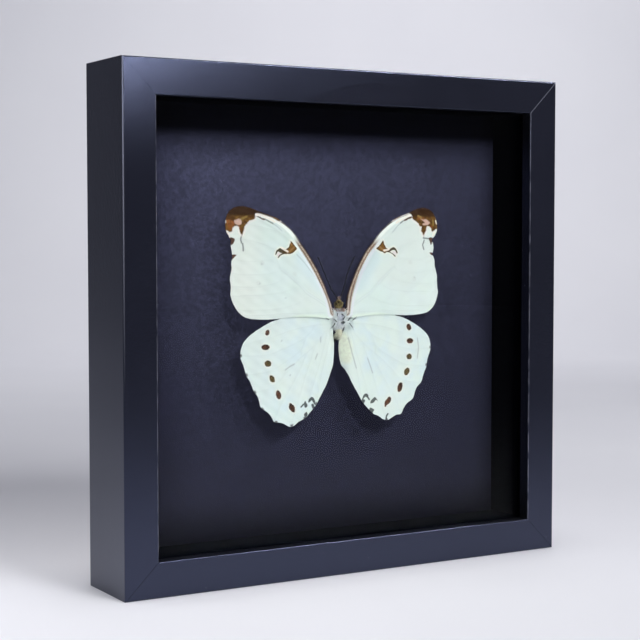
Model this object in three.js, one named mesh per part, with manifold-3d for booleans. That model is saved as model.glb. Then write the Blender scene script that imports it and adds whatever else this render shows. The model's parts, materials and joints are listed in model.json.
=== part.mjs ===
// Framed butterfly specimen: a white morpho floating on a pin inside a deep black shadow-box frame.
// Millimetres. +Z is up, the glass faces -Y, and the frame stands on z = 0, centred on x = y = 0.

import * as THREE from 'three';
import { mergeVertices } from 'three/addons/utils/BufferGeometryUtils.js';
import Module from 'manifold-3d';

const wasm = await Module();
wasm.setup();

// ---- driving dimensions ----

const frameSize = 220; // outer width and height
const frameDepth = 37.5;
const faceWidth = 15; // front face of each rail
const lipWidth = 5; // part of the face that laps over the glass
const lipDepth = 6;
const arris = 0.8; // rounding of the outer edges
const lipArris = 0.4; // rounding of the edge around the glass
const mitreGap = 0.06; // how far each mitred end stands back from the joint
const fitGap = 0.2; // play between stacked flat pieces
const cutGap = 0.3; // play around a piece let into another

const glassThickness = 2;
const spacerHeight = 20.8; // from the glass back to the mount board
const boardThickness = 2;
const panelThickness = 2.5;

const tabThickness = 0.6; // flexible metal points that hold the back in
const tabWidth = 7;
const tabReach = 10; // over the back panel
const tabSunk = 4; // into the rail
const tabOffset = 60; // from the middle of the rail

const hangerLength = 46;
const hangerHeight = 9;
const hangerThickness = 0.8;
const hangerFoot = 9; // flat end that is riveted down
const hangerRise = 1.3; // how far the toothed middle stands off the panel
const hangerDrop = 26; // from the top of the frame to the hanger's middle
const toothCount = 11;
const toothPitch = 2;
const toothDepth = 1.6;
const rivetShank = 2;
const rivetHead = 4.2;
const rivetHeadHeight = 0.7;

const wingThickness = 0.3;
const wingRings = 3;
const pinDiameter = 0.5;
const pinX = 0.6;
const pinZ = 110;
const pinProud = 0.3; // cut end above the thorax

// ---- depths behind the frame's front face ----

const frontY = -frameDepth / 2;
const rabbetWall = faceWidth - lipWidth; // from the outer edge in
const halfOpening = frameSize / 2 - rabbetWall;
const halfInsert = halfOpening - cutGap;
const middleZ = frameSize / 2;
const glassFront = lipDepth + fitGap;
const spacerFront = glassFront + glassThickness + fitGap;
const boardFront = spacerFront + spacerHeight + fitGap;
const panelFront = boardFront + boardThickness + fitGap;
const panelBack = panelFront + panelThickness;
const tabFront = panelBack + cutGap;

// ---- materials ----

function finish(color, roughness, metalness = 0) {
  return new THREE.MeshStandardMaterial({ color, roughness, metalness });
}

const blackLacquer = finish(0x16161c, 0.35);
const clearGlass = finish(0xdfe8ea, 0.03);
clearGlass.transparent = true;
clearGlass.opacity = 0.15;
const blackCard = finish(0x1b1b26, 0.9);
const brownBoard = finish(0x7a5a3c, 0.85);
const bareSteel = finish(0x9a9a9c, 0.4, 1);
const blackSteel = finish(0x15151a, 0.45, 1);
const wingWhite = finish(0xdce8e6, 0.6);
const bodyHair = finish(0x8d8577, 0.95);
const darkHorn = finish(0x1c1512, 0.6);

// ---- helpers ----

const model = new THREE.Group();

function addMesh(parent, name, geometry, material) {
  const mesh = new THREE.Mesh(geometry, material);
  mesh.name = name;
  parent.add(mesh);
  return mesh;
}

// A closed geometry as a solid that can be cut or joined.
function toSolid(geometry) {
  const bare = geometry.clone();
  bare.deleteAttribute('normal');
  bare.deleteAttribute('uv');
  const merged = mergeVertices(bare, 1e-5);
  const vertProperties = new Float32Array(merged.attributes.position.array);
  const triVerts = new Uint32Array(merged.index.array);
  return new wasm.Manifold(new wasm.Mesh({ numProp: 3, vertProperties, triVerts }));
}

function toGeometry(solid) {
  const mesh = solid.getMesh();
  const geometry = new THREE.BufferGeometry();
  geometry.setAttribute('position', new THREE.BufferAttribute(mesh.vertProperties, 3));
  geometry.setIndex(new THREE.BufferAttribute(mesh.triVerts, 1));
  geometry.computeVertexNormals();
  return geometry;
}

// A box given by its lowest and highest corners.
function boxBetween(low, high) {
  const size = high.map((value, axis) => value - low[axis]);
  const middle = high.map((value, axis) => (value + low[axis]) / 2);
  return new THREE.BoxGeometry(...size).translate(...middle);
}

// A cylinder along Y between two depths.
function boreAlongY(x, z, radius, fromDepth, toDepth) {
  const bore = new THREE.CylinderGeometry(radius, radius, toDepth - fromDepth, 16);
  return bore.translate(x, frontY + (fromDepth + toDepth) / 2, z);
}

// ---- frame rails ----

// Cross-section of a rail: x runs in from the outer edge, y runs back from the front face.
function railProfile() {
  const shape = new THREE.Shape();
  shape.moveTo(arris, 0);
  shape.lineTo(faceWidth - lipArris, 0);
  shape.absarc(faceWidth - lipArris, lipArris, lipArris, -Math.PI / 2, 0, false);
  shape.lineTo(faceWidth, lipDepth);
  shape.lineTo(rabbetWall, lipDepth);
  shape.lineTo(rabbetWall, frameDepth);
  shape.lineTo(arris, frameDepth);
  shape.absarc(arris, frameDepth - arris, arris, Math.PI / 2, Math.PI, false);
  shape.lineTo(0, arris);
  shape.absarc(arris, arris, arris, Math.PI, Math.PI * 1.5, false);
  return shape;
}

// A bottom rail about the frame's middle, each end drawn in by its distance from the outer edge.
function railGeometry() {
  const plain = { depth: 1, bevelEnabled: false, curveSegments: 3 };
  const geometry = new THREE.ExtrudeGeometry(railProfile(), plain);
  const points = geometry.attributes.position;
  for (let i = 0; i < points.count; i++) {
    const inward = points.getX(i);
    const halfLength = frameSize / 2 - inward - mitreGap;
    const end = points.getZ(i) > 0.5 ? -1 : 1;
    points.setXYZ(i, end * halfLength, frontY + points.getY(i), inward - frameSize / 2);
  }
  let rail = toSolid(geometry);
  for (const side of [-1, 1]) {
    rail = rail.subtract(toSolid(slotGeometry(side * tabOffset)));
  }
  return toGeometry(rail);
}

function slotGeometry(along) {
  const halfWidth = tabWidth / 2 + cutGap;
  const wallZ = rabbetWall - frameSize / 2;
  return boxBetween(
    [along - halfWidth, frontY + tabFront - cutGap, wallZ - tabSunk - cutGap],
    [along + halfWidth, frontY + tabFront + tabThickness + cutGap, wallZ + 1],
  );
}

// A retaining tab: a thin metal point with a rounded free end, drawn in XY and stood up in XZ.
function tabGeometry(along) {
  const wallZ = rabbetWall - frameSize / 2;
  const halfWidth = tabWidth / 2;
  const shape = new THREE.Shape();
  shape.moveTo(along - halfWidth, wallZ - tabSunk);
  shape.lineTo(along + halfWidth, wallZ - tabSunk);
  shape.lineTo(along + halfWidth, wallZ + tabReach - halfWidth);
  shape.absarc(along, wallZ + tabReach - halfWidth, halfWidth, 0, Math.PI, false);
  const plain = { depth: tabThickness, bevelEnabled: false, curveSegments: 10 };
  const geometry = new THREE.ExtrudeGeometry(shape, plain);
  geometry.rotateX(Math.PI / 2);
  geometry.translate(0, frontY + tabFront + tabThickness, 0);
  return geometry;
}

// Each side is the bottom one turned about the middle of the frame.
function buildFrame() {
  const quarterTurns = ['bottom', 'left', 'top', 'right'];
  let tabNumber = 1;
  quarterTurns.forEach((side, quarter) => {
    const turned = new THREE.Group();
    turned.position.z = middleZ;
    turned.rotation.y = quarter * Math.PI / 2;
    addMesh(turned, `frame_rail_${side}`, railGeometry(), blackLacquer);
    for (const along of [-tabOffset, tabOffset]) {
      addMesh(turned, `retaining_tab_${tabNumber}`, tabGeometry(along), bareSteel);
      tabNumber += 1;
    }
    model.add(turned);
  });
}

// ---- glass, spacers, board and back ----

function squareSheet(frontDepth, thickness) {
  return boxBetween(
    [-halfInsert, frontY + frontDepth, middleZ - halfInsert],
    [halfInsert, frontY + frontDepth + thickness, middleZ + halfInsert],
  );
}

function buildInserts() {
  addMesh(model, 'glass_pane', squareSheet(glassFront, glassThickness), clearGlass);

  const spacerThickness = lipWidth - cutGap; // its inner face is flush with the lip
  const front = frontY + spacerFront;
  const back = front + spacerHeight;
  const inner = halfInsert - spacerThickness;
  for (const [side, sign] of [['bottom', -1], ['top', 1]]) {
    const edges = [middleZ + sign * halfInsert, middleZ + sign * inner].sort((a, b) => a - b);
    const spacer = boxBetween([-halfInsert, front, edges[0]], [halfInsert, back, edges[1]]);
    addMesh(model, `spacer_${side}`, spacer, blackCard);
  }
  for (const [side, sign] of [['left', -1], ['right', 1]]) {
    const edges = [sign * halfInsert, sign * inner].sort((a, b) => a - b);
    const reach = inner - fitGap;
    const spacer = boxBetween([edges[0], front, middleZ - reach], [edges[1], back, middleZ + reach]);
    addMesh(model, `spacer_${side}`, spacer, blackCard);
  }

  const pinHole = boreAlongY(pinX, pinZ, pinDiameter / 2 + cutGap, boardFront - 1, panelFront + 1);
  const board = toSolid(squareSheet(boardFront, boardThickness)).subtract(toSolid(pinHole));
  addMesh(model, 'mount_board', toGeometry(board), blackCard);

  let panel = toSolid(squareSheet(panelFront, panelThickness));
  for (const sign of [-1, 1]) {
    const hole = boreAlongY(sign * rivetX, hangerZ, rivetShank / 2 + cutGap, panelFront - 1, panelBack + 1);
    panel = panel.subtract(toSolid(hole));
  }
  addMesh(model, 'back_panel', toGeometry(panel), brownBoard);
}

// ---- sawtooth hanger ----

const hangerZ = frameSize - hangerDrop;
const rivetX = hangerLength / 2 - hangerFoot / 2;
const hangerSeat = panelBack + fitGap;

function hangerGeometry() {
  const half = hangerLength / 2;
  const footEnd = half - hangerFoot;
  const raisedEnd = footEnd - hangerRise;
  const seat = frontY + hangerSeat;
  const outline = [
    [-half, 0], [-footEnd, 0], [-raisedEnd, hangerRise],
    [raisedEnd, hangerRise], [footEnd, 0], [half, 0],
  ];
  const lower = outline.map(([x, y]) => new THREE.Vector2(x, seat + y));
  const upper = outline.map(([x, y]) => new THREE.Vector2(x, seat + y + hangerThickness)).reverse();
  const strip = new THREE.ExtrudeGeometry(new THREE.Shape([...lower, ...upper]), {
    depth: hangerHeight,
    bevelEnabled: false,
  });
  strip.translate(0, 0, hangerZ - hangerHeight / 2);

  const teeth = new THREE.Shape();
  const lowZ = hangerZ - hangerHeight / 2;
  const span = toothCount * toothPitch;
  teeth.moveTo(-span / 2, lowZ - 1);
  teeth.lineTo(span / 2, lowZ - 1);
  for (let tooth = toothCount; tooth > 0; tooth--) {
    const right = -span / 2 + tooth * toothPitch;
    teeth.lineTo(right, lowZ);
    teeth.lineTo(right - toothPitch / 2, lowZ + toothDepth);
  }
  teeth.lineTo(-span / 2, lowZ);
  const notch = new THREE.ExtrudeGeometry(teeth, { depth: frameDepth, bevelEnabled: false });
  notch.rotateX(Math.PI / 2);
  notch.translate(0, frameDepth, 0);

  let hanger = toSolid(strip).subtract(toSolid(notch));
  for (const sign of [-1, 1]) {
    const hole = boreAlongY(sign * rivetX, hangerZ, rivetShank / 2 + cutGap, panelBack, frameDepth);
    hanger = hanger.subtract(toSolid(hole));
  }
  return toGeometry(hanger);
}

function rivetGeometry(x) {
  const shankEnd = panelFront + cutGap - hangerSeat - hangerThickness - cutGap;
  const profile = [
    new THREE.Vector2(0, shankEnd),
    new THREE.Vector2(rivetShank / 2, shankEnd),
    new THREE.Vector2(rivetShank / 2, 0),
    new THREE.Vector2(rivetHead / 2, 0),
    new THREE.Vector2(rivetHead / 2 - 0.2, rivetHeadHeight / 2),
    new THREE.Vector2(rivetHead / 4, rivetHeadHeight * 0.9),
    new THREE.Vector2(0, rivetHeadHeight),
  ];
  const rivet = new THREE.LatheGeometry(profile, 16);
  return rivet.translate(x, frontY + hangerSeat + hangerThickness + cutGap, hangerZ);
}

function buildHanger() {
  addMesh(model, 'hanger', hangerGeometry(), bareSteel);
  addMesh(model, 'hanger_rivet_left', rivetGeometry(-rivetX), bareSteel);
  addMesh(model, 'hanger_rivet_right', rivetGeometry(rivetX), bareSteel);
}

// ---- wings ----

// Outlines are [distance from the middle, height], going round from the root's front edge.
const forewing = {
  outline: [
    [3.2, 114.6], [4.3, 119.9], [6.1, 125], [8.4, 130], [11.1, 135], [13.3, 138.5], [15.8, 142],
    [18.3, 145], [20.8, 148], [23.1, 150.5], [25.6, 152.6], [28.2, 154.5], [31, 156.1], [34.6, 157.4],
    [39.2, 158.9], [43.9, 160.5], [47.4, 161], [50.4, 160.4], [52.8, 158.8], [54.3, 156.2], [54.9, 153.2],
    [54.6, 150.4], [53.3, 148.2], [51.6, 146.1], [52.2, 144.6], [52.4, 142.6], [51.9, 141], [51.5, 139.6],
    [52.2, 138.2], [52.7, 136.4], [52.6, 134.6], [53.2, 132.2], [53.7, 129.5], [53.4, 127.2], [53.5, 125.2],
    [53.9, 122.6], [53.3, 120], [52.2, 117.6], [50.6, 115.4], [48.2, 113.6], [45.3, 112.7], [41.6, 112.3],
    [36.4, 112.1], [30.7, 112.3], [24.4, 112.8], [17, 112.7], [9.8, 112.2], [4, 112],
  ],
  centre: [31, 133],
};
const hindwing = {
  outline: [
    [3.7, 111], [8, 113.9], [14, 114.4], [20, 114.5], [25.5, 113.6], [30.6, 112], [34.5, 110.9],
    [39.2, 108.7], [43.4, 106.3], [46.7, 103.7], [48.3, 101.7], [49, 99.8], [49.5, 96.8], [48.9, 94.6],
    [48, 92.6], [47.4, 90.4], [47, 88.2], [45.5, 86], [44.6, 83.8], [43.5, 80.9], [41.5, 79], [40.5, 76.8],
    [39.5, 73.8], [36.4, 71.8], [34.4, 69.6], [33, 67.2], [30.2, 66.9], [28, 66.1], [25.4, 64.8],
    [23, 65.3], [21.2, 66.6], [17.4, 68.3], [15.4, 70.3], [12, 73.8], [10.8, 75.9], [8.6, 79.4],
    [6.8, 82.3], [5.2, 85.6], [3.8, 88.2], [2.2, 90.6], [1.5, 94], [1.2, 98], [1.4, 101.4],
    [2.5, 104.2], [3.3, 107.4],
  ],
  centre: [26, 93],
};

// The forewing leans back towards its tip, and its leading edge curls back by a further costaCurl.
const forewingSeat = 13.85; // depth of the rear edge at the root
const costaCurl = 1.1;
const costaFrom = [2, 115];
const costaTo = [27, 153];

function forewingDepth(x, z) {
  const run = Math.hypot(costaTo[0] - costaFrom[0], costaTo[1] - costaFrom[1]);
  const along = [(costaTo[0] - costaFrom[0]) / run, (costaTo[1] - costaFrom[1]) / run];
  const behindEdge = (x - costaFrom[0]) * along[1] - (z - costaFrom[1]) * along[0];
  const travel = (x - costaFrom[0]) * along[0] + (z - costaFrom[1]) * along[1];
  const nearRoot = 1 - THREE.MathUtils.smoothstep(travel, run * 0.6, run);
  const curl = costaCurl * nearRoot * Math.exp(-Math.max(behindEdge, -1) / 2);
  const rearEdge = forewingSeat + 0.00054 * x * x;
  return rearEdge + (z - costaFrom[1]) * (0.045 + 0.0005 * x) + curl;
}

// The hindwing is nearly flat, and its inner margin folds back beside the abdomen.
const hindwingSeat = 14.75;
const innerFold = 3;
const innerFoldWidth = 3.6;

function hindwingDepth(x, z) {
  const belowThorax = 1 - THREE.MathUtils.smoothstep(z, 104, 112);
  const fold = innerFold * belowThorax * Math.exp(-((x / innerFoldWidth) ** 2));
  return hindwingSeat + 0.0002 * x * x + 0.004 * (z - 110) + fold;
}

// A thin closed sheet: rings of points from the wing's centre out to its outline, front and back.
function wingGeometry(wing, depthAt, side) {
  const corners = wing.outline.map(([x, z]) => new THREE.Vector3(x, z, 0));
  const edge = new THREE.CatmullRomCurve3(corners, true, 'centripetal');
  const rim = edge.getSpacedPoints(corners.length * 2).slice(0, -1);
  const positions = [];
  const indices = [];
  const addPoint = (x, z, back) => {
    const depth = depthAt(x, z) + back * wingThickness;
    positions.push(side * x, frontY + depth, z);
  };
  for (const back of [0, 1]) {
    addPoint(...wing.centre, back);
    for (let ring = 1; ring <= wingRings; ring++) {
      const spread = ring / wingRings;
      for (const point of rim) {
        const x = THREE.MathUtils.lerp(wing.centre[0], point.x, spread);
        const z = THREE.MathUtils.lerp(wing.centre[1], point.y, spread);
        addPoint(x, z, back);
      }
    }
  }
  const count = rim.length;
  const layer = 1 + wingRings * count;
  const addFace = (a, b, c, flip) => indices.push(...(flip ? [a, c, b] : [a, b, c]));
  for (const back of [0, 1]) {
    const flip = (back === 1) !== (side < 0);
    const base = back * layer;
    for (let i = 0; i < count; i++) {
      const next = (i + 1) % count;
      addFace(base, base + 1 + next, base + 1 + i, flip);
      for (let ring = 1; ring < wingRings; ring++) {
        const near = base + 1 + (ring - 1) * count;
        const far = near + count;
        addFace(near + i, near + next, far + i, flip);
        addFace(near + next, far + next, far + i, flip);
      }
    }
  }
  const frontRim = layer - count;
  for (let i = 0; i < count; i++) {
    const next = (i + 1) % count;
    addFace(frontRim + i, frontRim + next, frontRim + layer + i, side < 0);
    addFace(frontRim + next, frontRim + layer + next, frontRim + layer + i, side < 0);
  }
  const geometry = new THREE.BufferGeometry();
  geometry.setAttribute('position', new THREE.Float32BufferAttribute(positions, 3));
  geometry.setIndex(indices);
  geometry.computeVertexNormals();
  return geometry;
}

// ---- body ----

// A closed tube of varying radius; stops are [x, depth, z, radius] from end to end.
function taperedTube(stops, sides, steps) {
  const points = stops.map(([x, depth, z]) => new THREE.Vector3(x, frontY + depth, z));
  const spine = new THREE.CatmullRomCurve3(points);
  const frames = spine.computeFrenetFrames(steps);
  const positions = [];
  const indices = [];
  const lastStop = stops.length - 1;
  for (let step = 0; step <= steps; step++) {
    const travelled = spine.getUtoTmapping(step / steps) * lastStop;
    const stop = Math.min(Math.floor(travelled), lastStop - 1);
    const radius = THREE.MathUtils.lerp(stops[stop][3], stops[stop + 1][3], travelled - stop);
    const middle = spine.getPointAt(step / steps);
    for (let i = 0; i < sides; i++) {
      const angle = i / sides * Math.PI * 2;
      const point = middle.clone()
        .addScaledVector(frames.normals[step], Math.cos(angle) * radius)
        .addScaledVector(frames.binormals[step], Math.sin(angle) * radius);
      positions.push(point.x, point.y, point.z);
    }
  }
  for (const end of [0, 1]) {
    const tip = spine.getPointAt(end);
    positions.push(tip.x, tip.y, tip.z);
  }
  const tipStart = (steps + 1) * sides;
  for (let i = 0; i < sides; i++) {
    const next = (i + 1) % sides;
    for (let step = 0; step < steps; step++) {
      const near = step * sides;
      const far = near + sides;
      indices.push(near + i, near + next, far + i);
      indices.push(near + next, far + next, far + i);
    }
    indices.push(tipStart, next, i);
    indices.push(tipStart + 1, steps * sides + i, steps * sides + next);
  }
  const geometry = new THREE.BufferGeometry();
  geometry.setAttribute('position', new THREE.Float32BufferAttribute(positions, 3));
  geometry.setIndex(indices);
  geometry.computeVertexNormals();
  return geometry;
}

function ellipsoid(x, depth, z, radii, across = 20, up = 12) {
  const ball = new THREE.SphereGeometry(1, across, up);
  ball.scale(...radii);
  return ball.translate(x, frontY + depth, z);
}

const thoraxCentre = [0.15, 16.3, 111.3]; // across, depth, height
const thoraxRadii = [2.75, 3.1, 4.5];
const headCentre = [0, 15.2, 118.2];

function thoraxGeometry() {
  const thorax = toSolid(ellipsoid(...thoraxCentre, thoraxRadii, 24, 16));
  const hole = boreAlongY(pinX, pinZ, pinDiameter / 2 + cutGap, 0, boardFront);
  return toGeometry(thorax.subtract(toSolid(hole)));
}

// Skull, two bulging eyes and two upturned palps in one.
function headGeometry() {
  const [x, depth, z] = headCentre;
  let head = toSolid(ellipsoid(x, depth, z, [1.7, 1.7, 1.6], 16, 10));
  for (const side of [-1, 1]) {
    const eye = ellipsoid(x + side * 1.35, depth + 0.1, z + 0.1, [0.85, 1.2, 1.15], 12, 8);
    const palp = taperedTube([
      [x + side * 0.4, depth + 0.9, z + 0.9, 0.5],
      [x + side * 0.5, depth + 0.2, z + 2.2, 0.5],
      [x + side * 0.35, depth - 0.6, z + 3.3, 0.15],
    ], 8, 5);
    head = head.add(toSolid(eye)).add(toSolid(palp));
  }
  return toGeometry(head);
}

const abdomenStops = [
  [0.3, 16.4, 106.5, 0.9], [0.3, 15.5, 105.3, 1.5], [0.3, 16.2, 103.8, 1.6], [0.3, 18.1, 102.9, 1.6],
  [0.2, 20.3, 101.9, 1.5], [0.1, 22.4, 100.1, 1.4], [0, 23.9, 97.4, 1.1], [0, 24.9, 94.6, 0.4],
];

const antennaStops = {
  left: [[-0.75, 15, 120.2, 0.16], [-3.9, 15.6, 125.2, 0.16], [-6.6, 16.3, 131.5, 0.17],
    [-8.9, 17, 137.2, 0.24], [-9.5, 17.2, 139, 0.18]],
  right: [[0.75, 15, 120.2, 0.16], [3.3, 15.7, 126.6, 0.16], [6.1, 16.5, 133.4, 0.17],
    [8.7, 17.1, 137.8, 0.24], [9.4, 17.2, 139, 0.18]],
};

// Folded walking legs under the thorax, given for the right side.
const legStops = {
  middle: [[1, 19.7, 112.6, 0.4], [4.6, 20.9, 115.6, 0.42], [5, 22.2, 111, 0.28],
    [3.2, 22.9, 104.6, 0.22], [2.6, 23.4, 100.6, 0.14]],
  hind: [[0.9, 19.8, 109.6, 0.4], [4.2, 21.6, 107, 0.42], [6.4, 23, 103.6, 0.28],
    [5.2, 23.9, 96.6, 0.22], [4.2, 24.4, 92.4, 0.14]],
};

function buildButterfly() {
  addMesh(model, 'thorax', thoraxGeometry(), bodyHair);
  addMesh(model, 'head', headGeometry(), bodyHair);
  addMesh(model, 'abdomen', taperedTube(abdomenStops, 12, 16), bodyHair);
  for (const [name, side] of [['left', -1], ['right', 1]]) {
    addMesh(model, `forewing_${name}`, wingGeometry(forewing, forewingDepth, side), wingWhite);
    addMesh(model, `hindwing_${name}`, wingGeometry(hindwing, hindwingDepth, side), wingWhite);
    addMesh(model, `antenna_${name}`, taperedTube(antennaStops[name], 6, 14), darkHorn);
    for (const [place, stops] of Object.entries(legStops)) {
      const mirrored = stops.map(([x, ...rest]) => [side * x, ...rest]);
      addMesh(model, `leg_${place}_${name}`, taperedTube(mirrored, 6, 12), darkHorn);
    }
  }
  const thoraxFront = thoraxCentre[1] - thoraxRadii[1];
  const pinFront = thoraxFront - pinProud;
  const pinBack = panelFront - cutGap;
  addMesh(model, 'mounting_pin', boreAlongY(pinX, pinZ, pinDiameter / 2, pinFront, pinBack), blackSteel);
}

buildFrame();
buildInserts();
buildHanger();
buildButterfly();

export default model;
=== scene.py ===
import json
import math

import bpy
import bmesh
import numpy as np
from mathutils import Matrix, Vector
from mathutils.geometry import delaunay_2d_cdt

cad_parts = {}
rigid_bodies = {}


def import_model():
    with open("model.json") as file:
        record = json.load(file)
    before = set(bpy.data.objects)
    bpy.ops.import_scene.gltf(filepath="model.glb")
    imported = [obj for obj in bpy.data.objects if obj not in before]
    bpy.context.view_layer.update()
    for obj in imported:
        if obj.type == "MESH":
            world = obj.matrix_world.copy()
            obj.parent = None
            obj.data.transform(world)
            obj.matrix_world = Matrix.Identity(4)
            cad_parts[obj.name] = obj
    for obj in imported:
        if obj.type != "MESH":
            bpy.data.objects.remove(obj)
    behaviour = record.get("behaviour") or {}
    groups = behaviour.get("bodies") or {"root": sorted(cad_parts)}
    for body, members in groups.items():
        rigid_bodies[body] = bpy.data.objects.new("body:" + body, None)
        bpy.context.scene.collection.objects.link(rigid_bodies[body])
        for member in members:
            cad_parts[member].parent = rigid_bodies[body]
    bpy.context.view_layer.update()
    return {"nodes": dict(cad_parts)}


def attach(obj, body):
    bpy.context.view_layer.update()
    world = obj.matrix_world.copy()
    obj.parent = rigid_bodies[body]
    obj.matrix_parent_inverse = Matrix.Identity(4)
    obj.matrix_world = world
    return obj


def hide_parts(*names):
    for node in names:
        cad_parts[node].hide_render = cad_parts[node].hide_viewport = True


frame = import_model()
scene = bpy.context.scene
scene.view_settings.view_transform = "Standard"

frontY = -18.75  # mm, the front face of the frame; depths below are counted back from it


def place(x, depth, z):
    return (x / 1000, (frontY + depth) / 1000, z / 1000)


# a socket wrapped so that sums in a shader read as plain arithmetic
class Wire:
    def __init__(self, paint, socket):
        self.paint = paint
        self.socket = socket

    def reckon(self, operation, *values):
        return self.paint.add("ShaderNodeMath", {"operation": operation}, values)

    def __add__(self, other):
        return self.reckon("ADD", self, other)

    def __radd__(self, other):
        return self.reckon("ADD", other, self)

    def __sub__(self, other):
        return self.reckon("SUBTRACT", self, other)

    def __rsub__(self, other):
        return self.reckon("SUBTRACT", other, self)

    def __mul__(self, other):
        return self.reckon("MULTIPLY", self, other)

    def __rmul__(self, other):
        return self.reckon("MULTIPLY", other, self)

    def __abs__(self):
        return self.reckon("ABSOLUTE", self)


class Paint:
    def __init__(self, name):
        self.material = bpy.data.materials.new(name)
        self.material.use_nodes = True
        self.nodes = self.material.node_tree.nodes
        self.links = self.material.node_tree.links
        self.nodes.clear()
        self.coords = self.add("ShaderNodeTexCoord", output="Object")

    def add(self, kind, settings=None, sockets=None, output=0):
        node = self.nodes.new(kind)
        for key, value in (settings or {}).items():
            setattr(node, key, value)
        pairs = sockets.items() if isinstance(sockets, dict) else enumerate(sockets or [])
        for key, value in pairs:
            if isinstance(value, Wire):
                self.links.new(value.socket, node.inputs[key])
            else:
                node.inputs[key].default_value = value
        return Wire(self, node.outputs[output]) if node.outputs else None

    def noise(self, size, detail=3.0, roughness=0.5, stretch=None, warp=0.0):  # size of a feature in mm
        vector = self.coords
        if stretch:
            vector = self.add("ShaderNodeVectorMath", {"operation": "MULTIPLY"}, [vector, stretch])
        return self.add("ShaderNodeTexNoise", None, {
            "Vector": vector, "Scale": 1000 / size, "Detail": detail, "Roughness": roughness,
            "Distortion": warp})

    def cells(self, size):
        return self.add("ShaderNodeTexVoronoi", None, {
            "Vector": self.coords, "Scale": 1000 / size}, "Distance")

    def along(self, axis):  # where the point lies on X, Y or Z, in mm
        return self.add("ShaderNodeSeparateXYZ", None, [self.coords], axis) * 1000

    def field(self, name):  # a number kept at each point of the mesh
        return self.add("ShaderNodeAttribute", {"attribute_name": name}, output="Fac")

    def fade(self, value, start, end):  # smooth 0 to 1 as value goes from start to end
        return self.add("ShaderNodeMapRange", {"interpolation_type": "SMOOTHSTEP"}, {
            "Value": value, "From Min": start, "From Max": end})

    def stripe(self, value, middle, half):  # one along a line, zero at half to each side of it
        return self.fade(value, middle - half, middle) * self.fade(value, middle + half, middle)

    def mix(self, factor, first, second):
        return self.add("ShaderNodeMix", {"data_type": "RGBA"}, {0: factor, 6: first, 7: second}, 2)

    def finish(self, surface, height=None, depth=0.1, strength=1.0):  # depth of the relief in mm
        if height is not None:
            surface["Normal"] = self.add("ShaderNodeBump", None, {
                "Strength": strength, "Distance": depth / 1000, "Height": height})
        shader = self.add("ShaderNodeBsdfPrincipled", None, surface)
        self.add("ShaderNodeOutputMaterial", None, [shader])
        return self.material


def tint(red, green, blue):  # screen colour, 0 to 255, as Blender's linear one
    return tuple((c / 12.92 if c <= 0.04045 else ((c + 0.055) / 1.055) ** 2.4) for c in (
        red / 255, green / 255, blue / 255)) + (1.0,)


# points are in metres, and fields hold one value for each point
def makePiece(name, points, faces, material, nodes=(), fields=None, sharpAngle=None):
    mesh = bpy.data.meshes.new(name)
    mesh.from_pydata([tuple(p) for p in points], [], [tuple(f) for f in faces])
    for key, values in (fields or {}).items():
        mesh.attributes.new(key, "FLOAT", "POINT").data.foreach_set("value", np.asarray(values, np.float32))
    mesh.polygons.foreach_set("use_smooth", [True] * len(mesh.polygons))
    if sharpAngle:
        mesh.set_sharp_from_angle(angle=math.radians(sharpAngle))
    mesh.materials.append(material)
    piece = bpy.data.objects.new(name, mesh)
    scene.collection.objects.link(piece)
    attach(piece, "root")
    if nodes:
        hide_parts(*nodes)
    return piece


def bands(rings, turns, flip=False):  # quads between rings of points
    faces = []
    for low in range(0, (rings - 1) * turns, turns):
        for k in range(turns):
            n = (k + 1) % turns
            first, second, third, fourth = low + k, low + n, low + turns + n, low + turns + k
            faces.append((first, fourth, third, second) if flip else (first, second, third, fourth))
    return faces


def cone(start, turns, tip, flip=False):  # triangles from a ring to one point
    faces = [(start + k, start + (k + 1) % turns, tip) for k in range(turns)]
    return [face[::-1] for face in faces] if flip else faces


def settle(piece):  # the modifiers become mesh
    graph = bpy.context.evaluated_depsgraph_get()
    mesh = bpy.data.meshes.new_from_object(piece.evaluated_get(graph))
    old = piece.data
    piece.modifiers.clear()
    piece.data = mesh
    bpy.data.meshes.remove(old)


def easeEdges(piece, width, segments=2, angle=30):  # width in mm
    bevel = piece.modifiers.new("bevel", "BEVEL")
    bevel.width = width / 1000
    bevel.segments = segments
    bevel.limit_method = "ANGLE"
    bevel.angle_limit = math.radians(angle)
    bevel.use_clamp_overlap = True
    flatFaces = piece.modifiers.new("flatFaces", "WEIGHTED_NORMAL")  # eased edges don't shade the flats
    flatFaces.keep_sharp = True
    settle(piece)


def refine(node, name, material, width, segments=2):  # a CAD shape with its edges eased
    source = frame["nodes"][node]
    form = bmesh.new()
    form.from_mesh(source.data)
    bmesh.ops.remove_doubles(form, verts=form.verts, dist=1e-6)
    bmesh.ops.dissolve_limit(form, angle_limit=math.radians(1), verts=form.verts, edges=form.edges)
    form.verts.index_update()
    points = [tuple(v.co) for v in form.verts]
    faces = [[v.index for v in f.verts] for f in form.faces]
    form.free()
    piece = makePiece(name, points, faces, material, [node], sharpAngle=30)
    easeEdges(piece, width, segments)
    return piece


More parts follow.
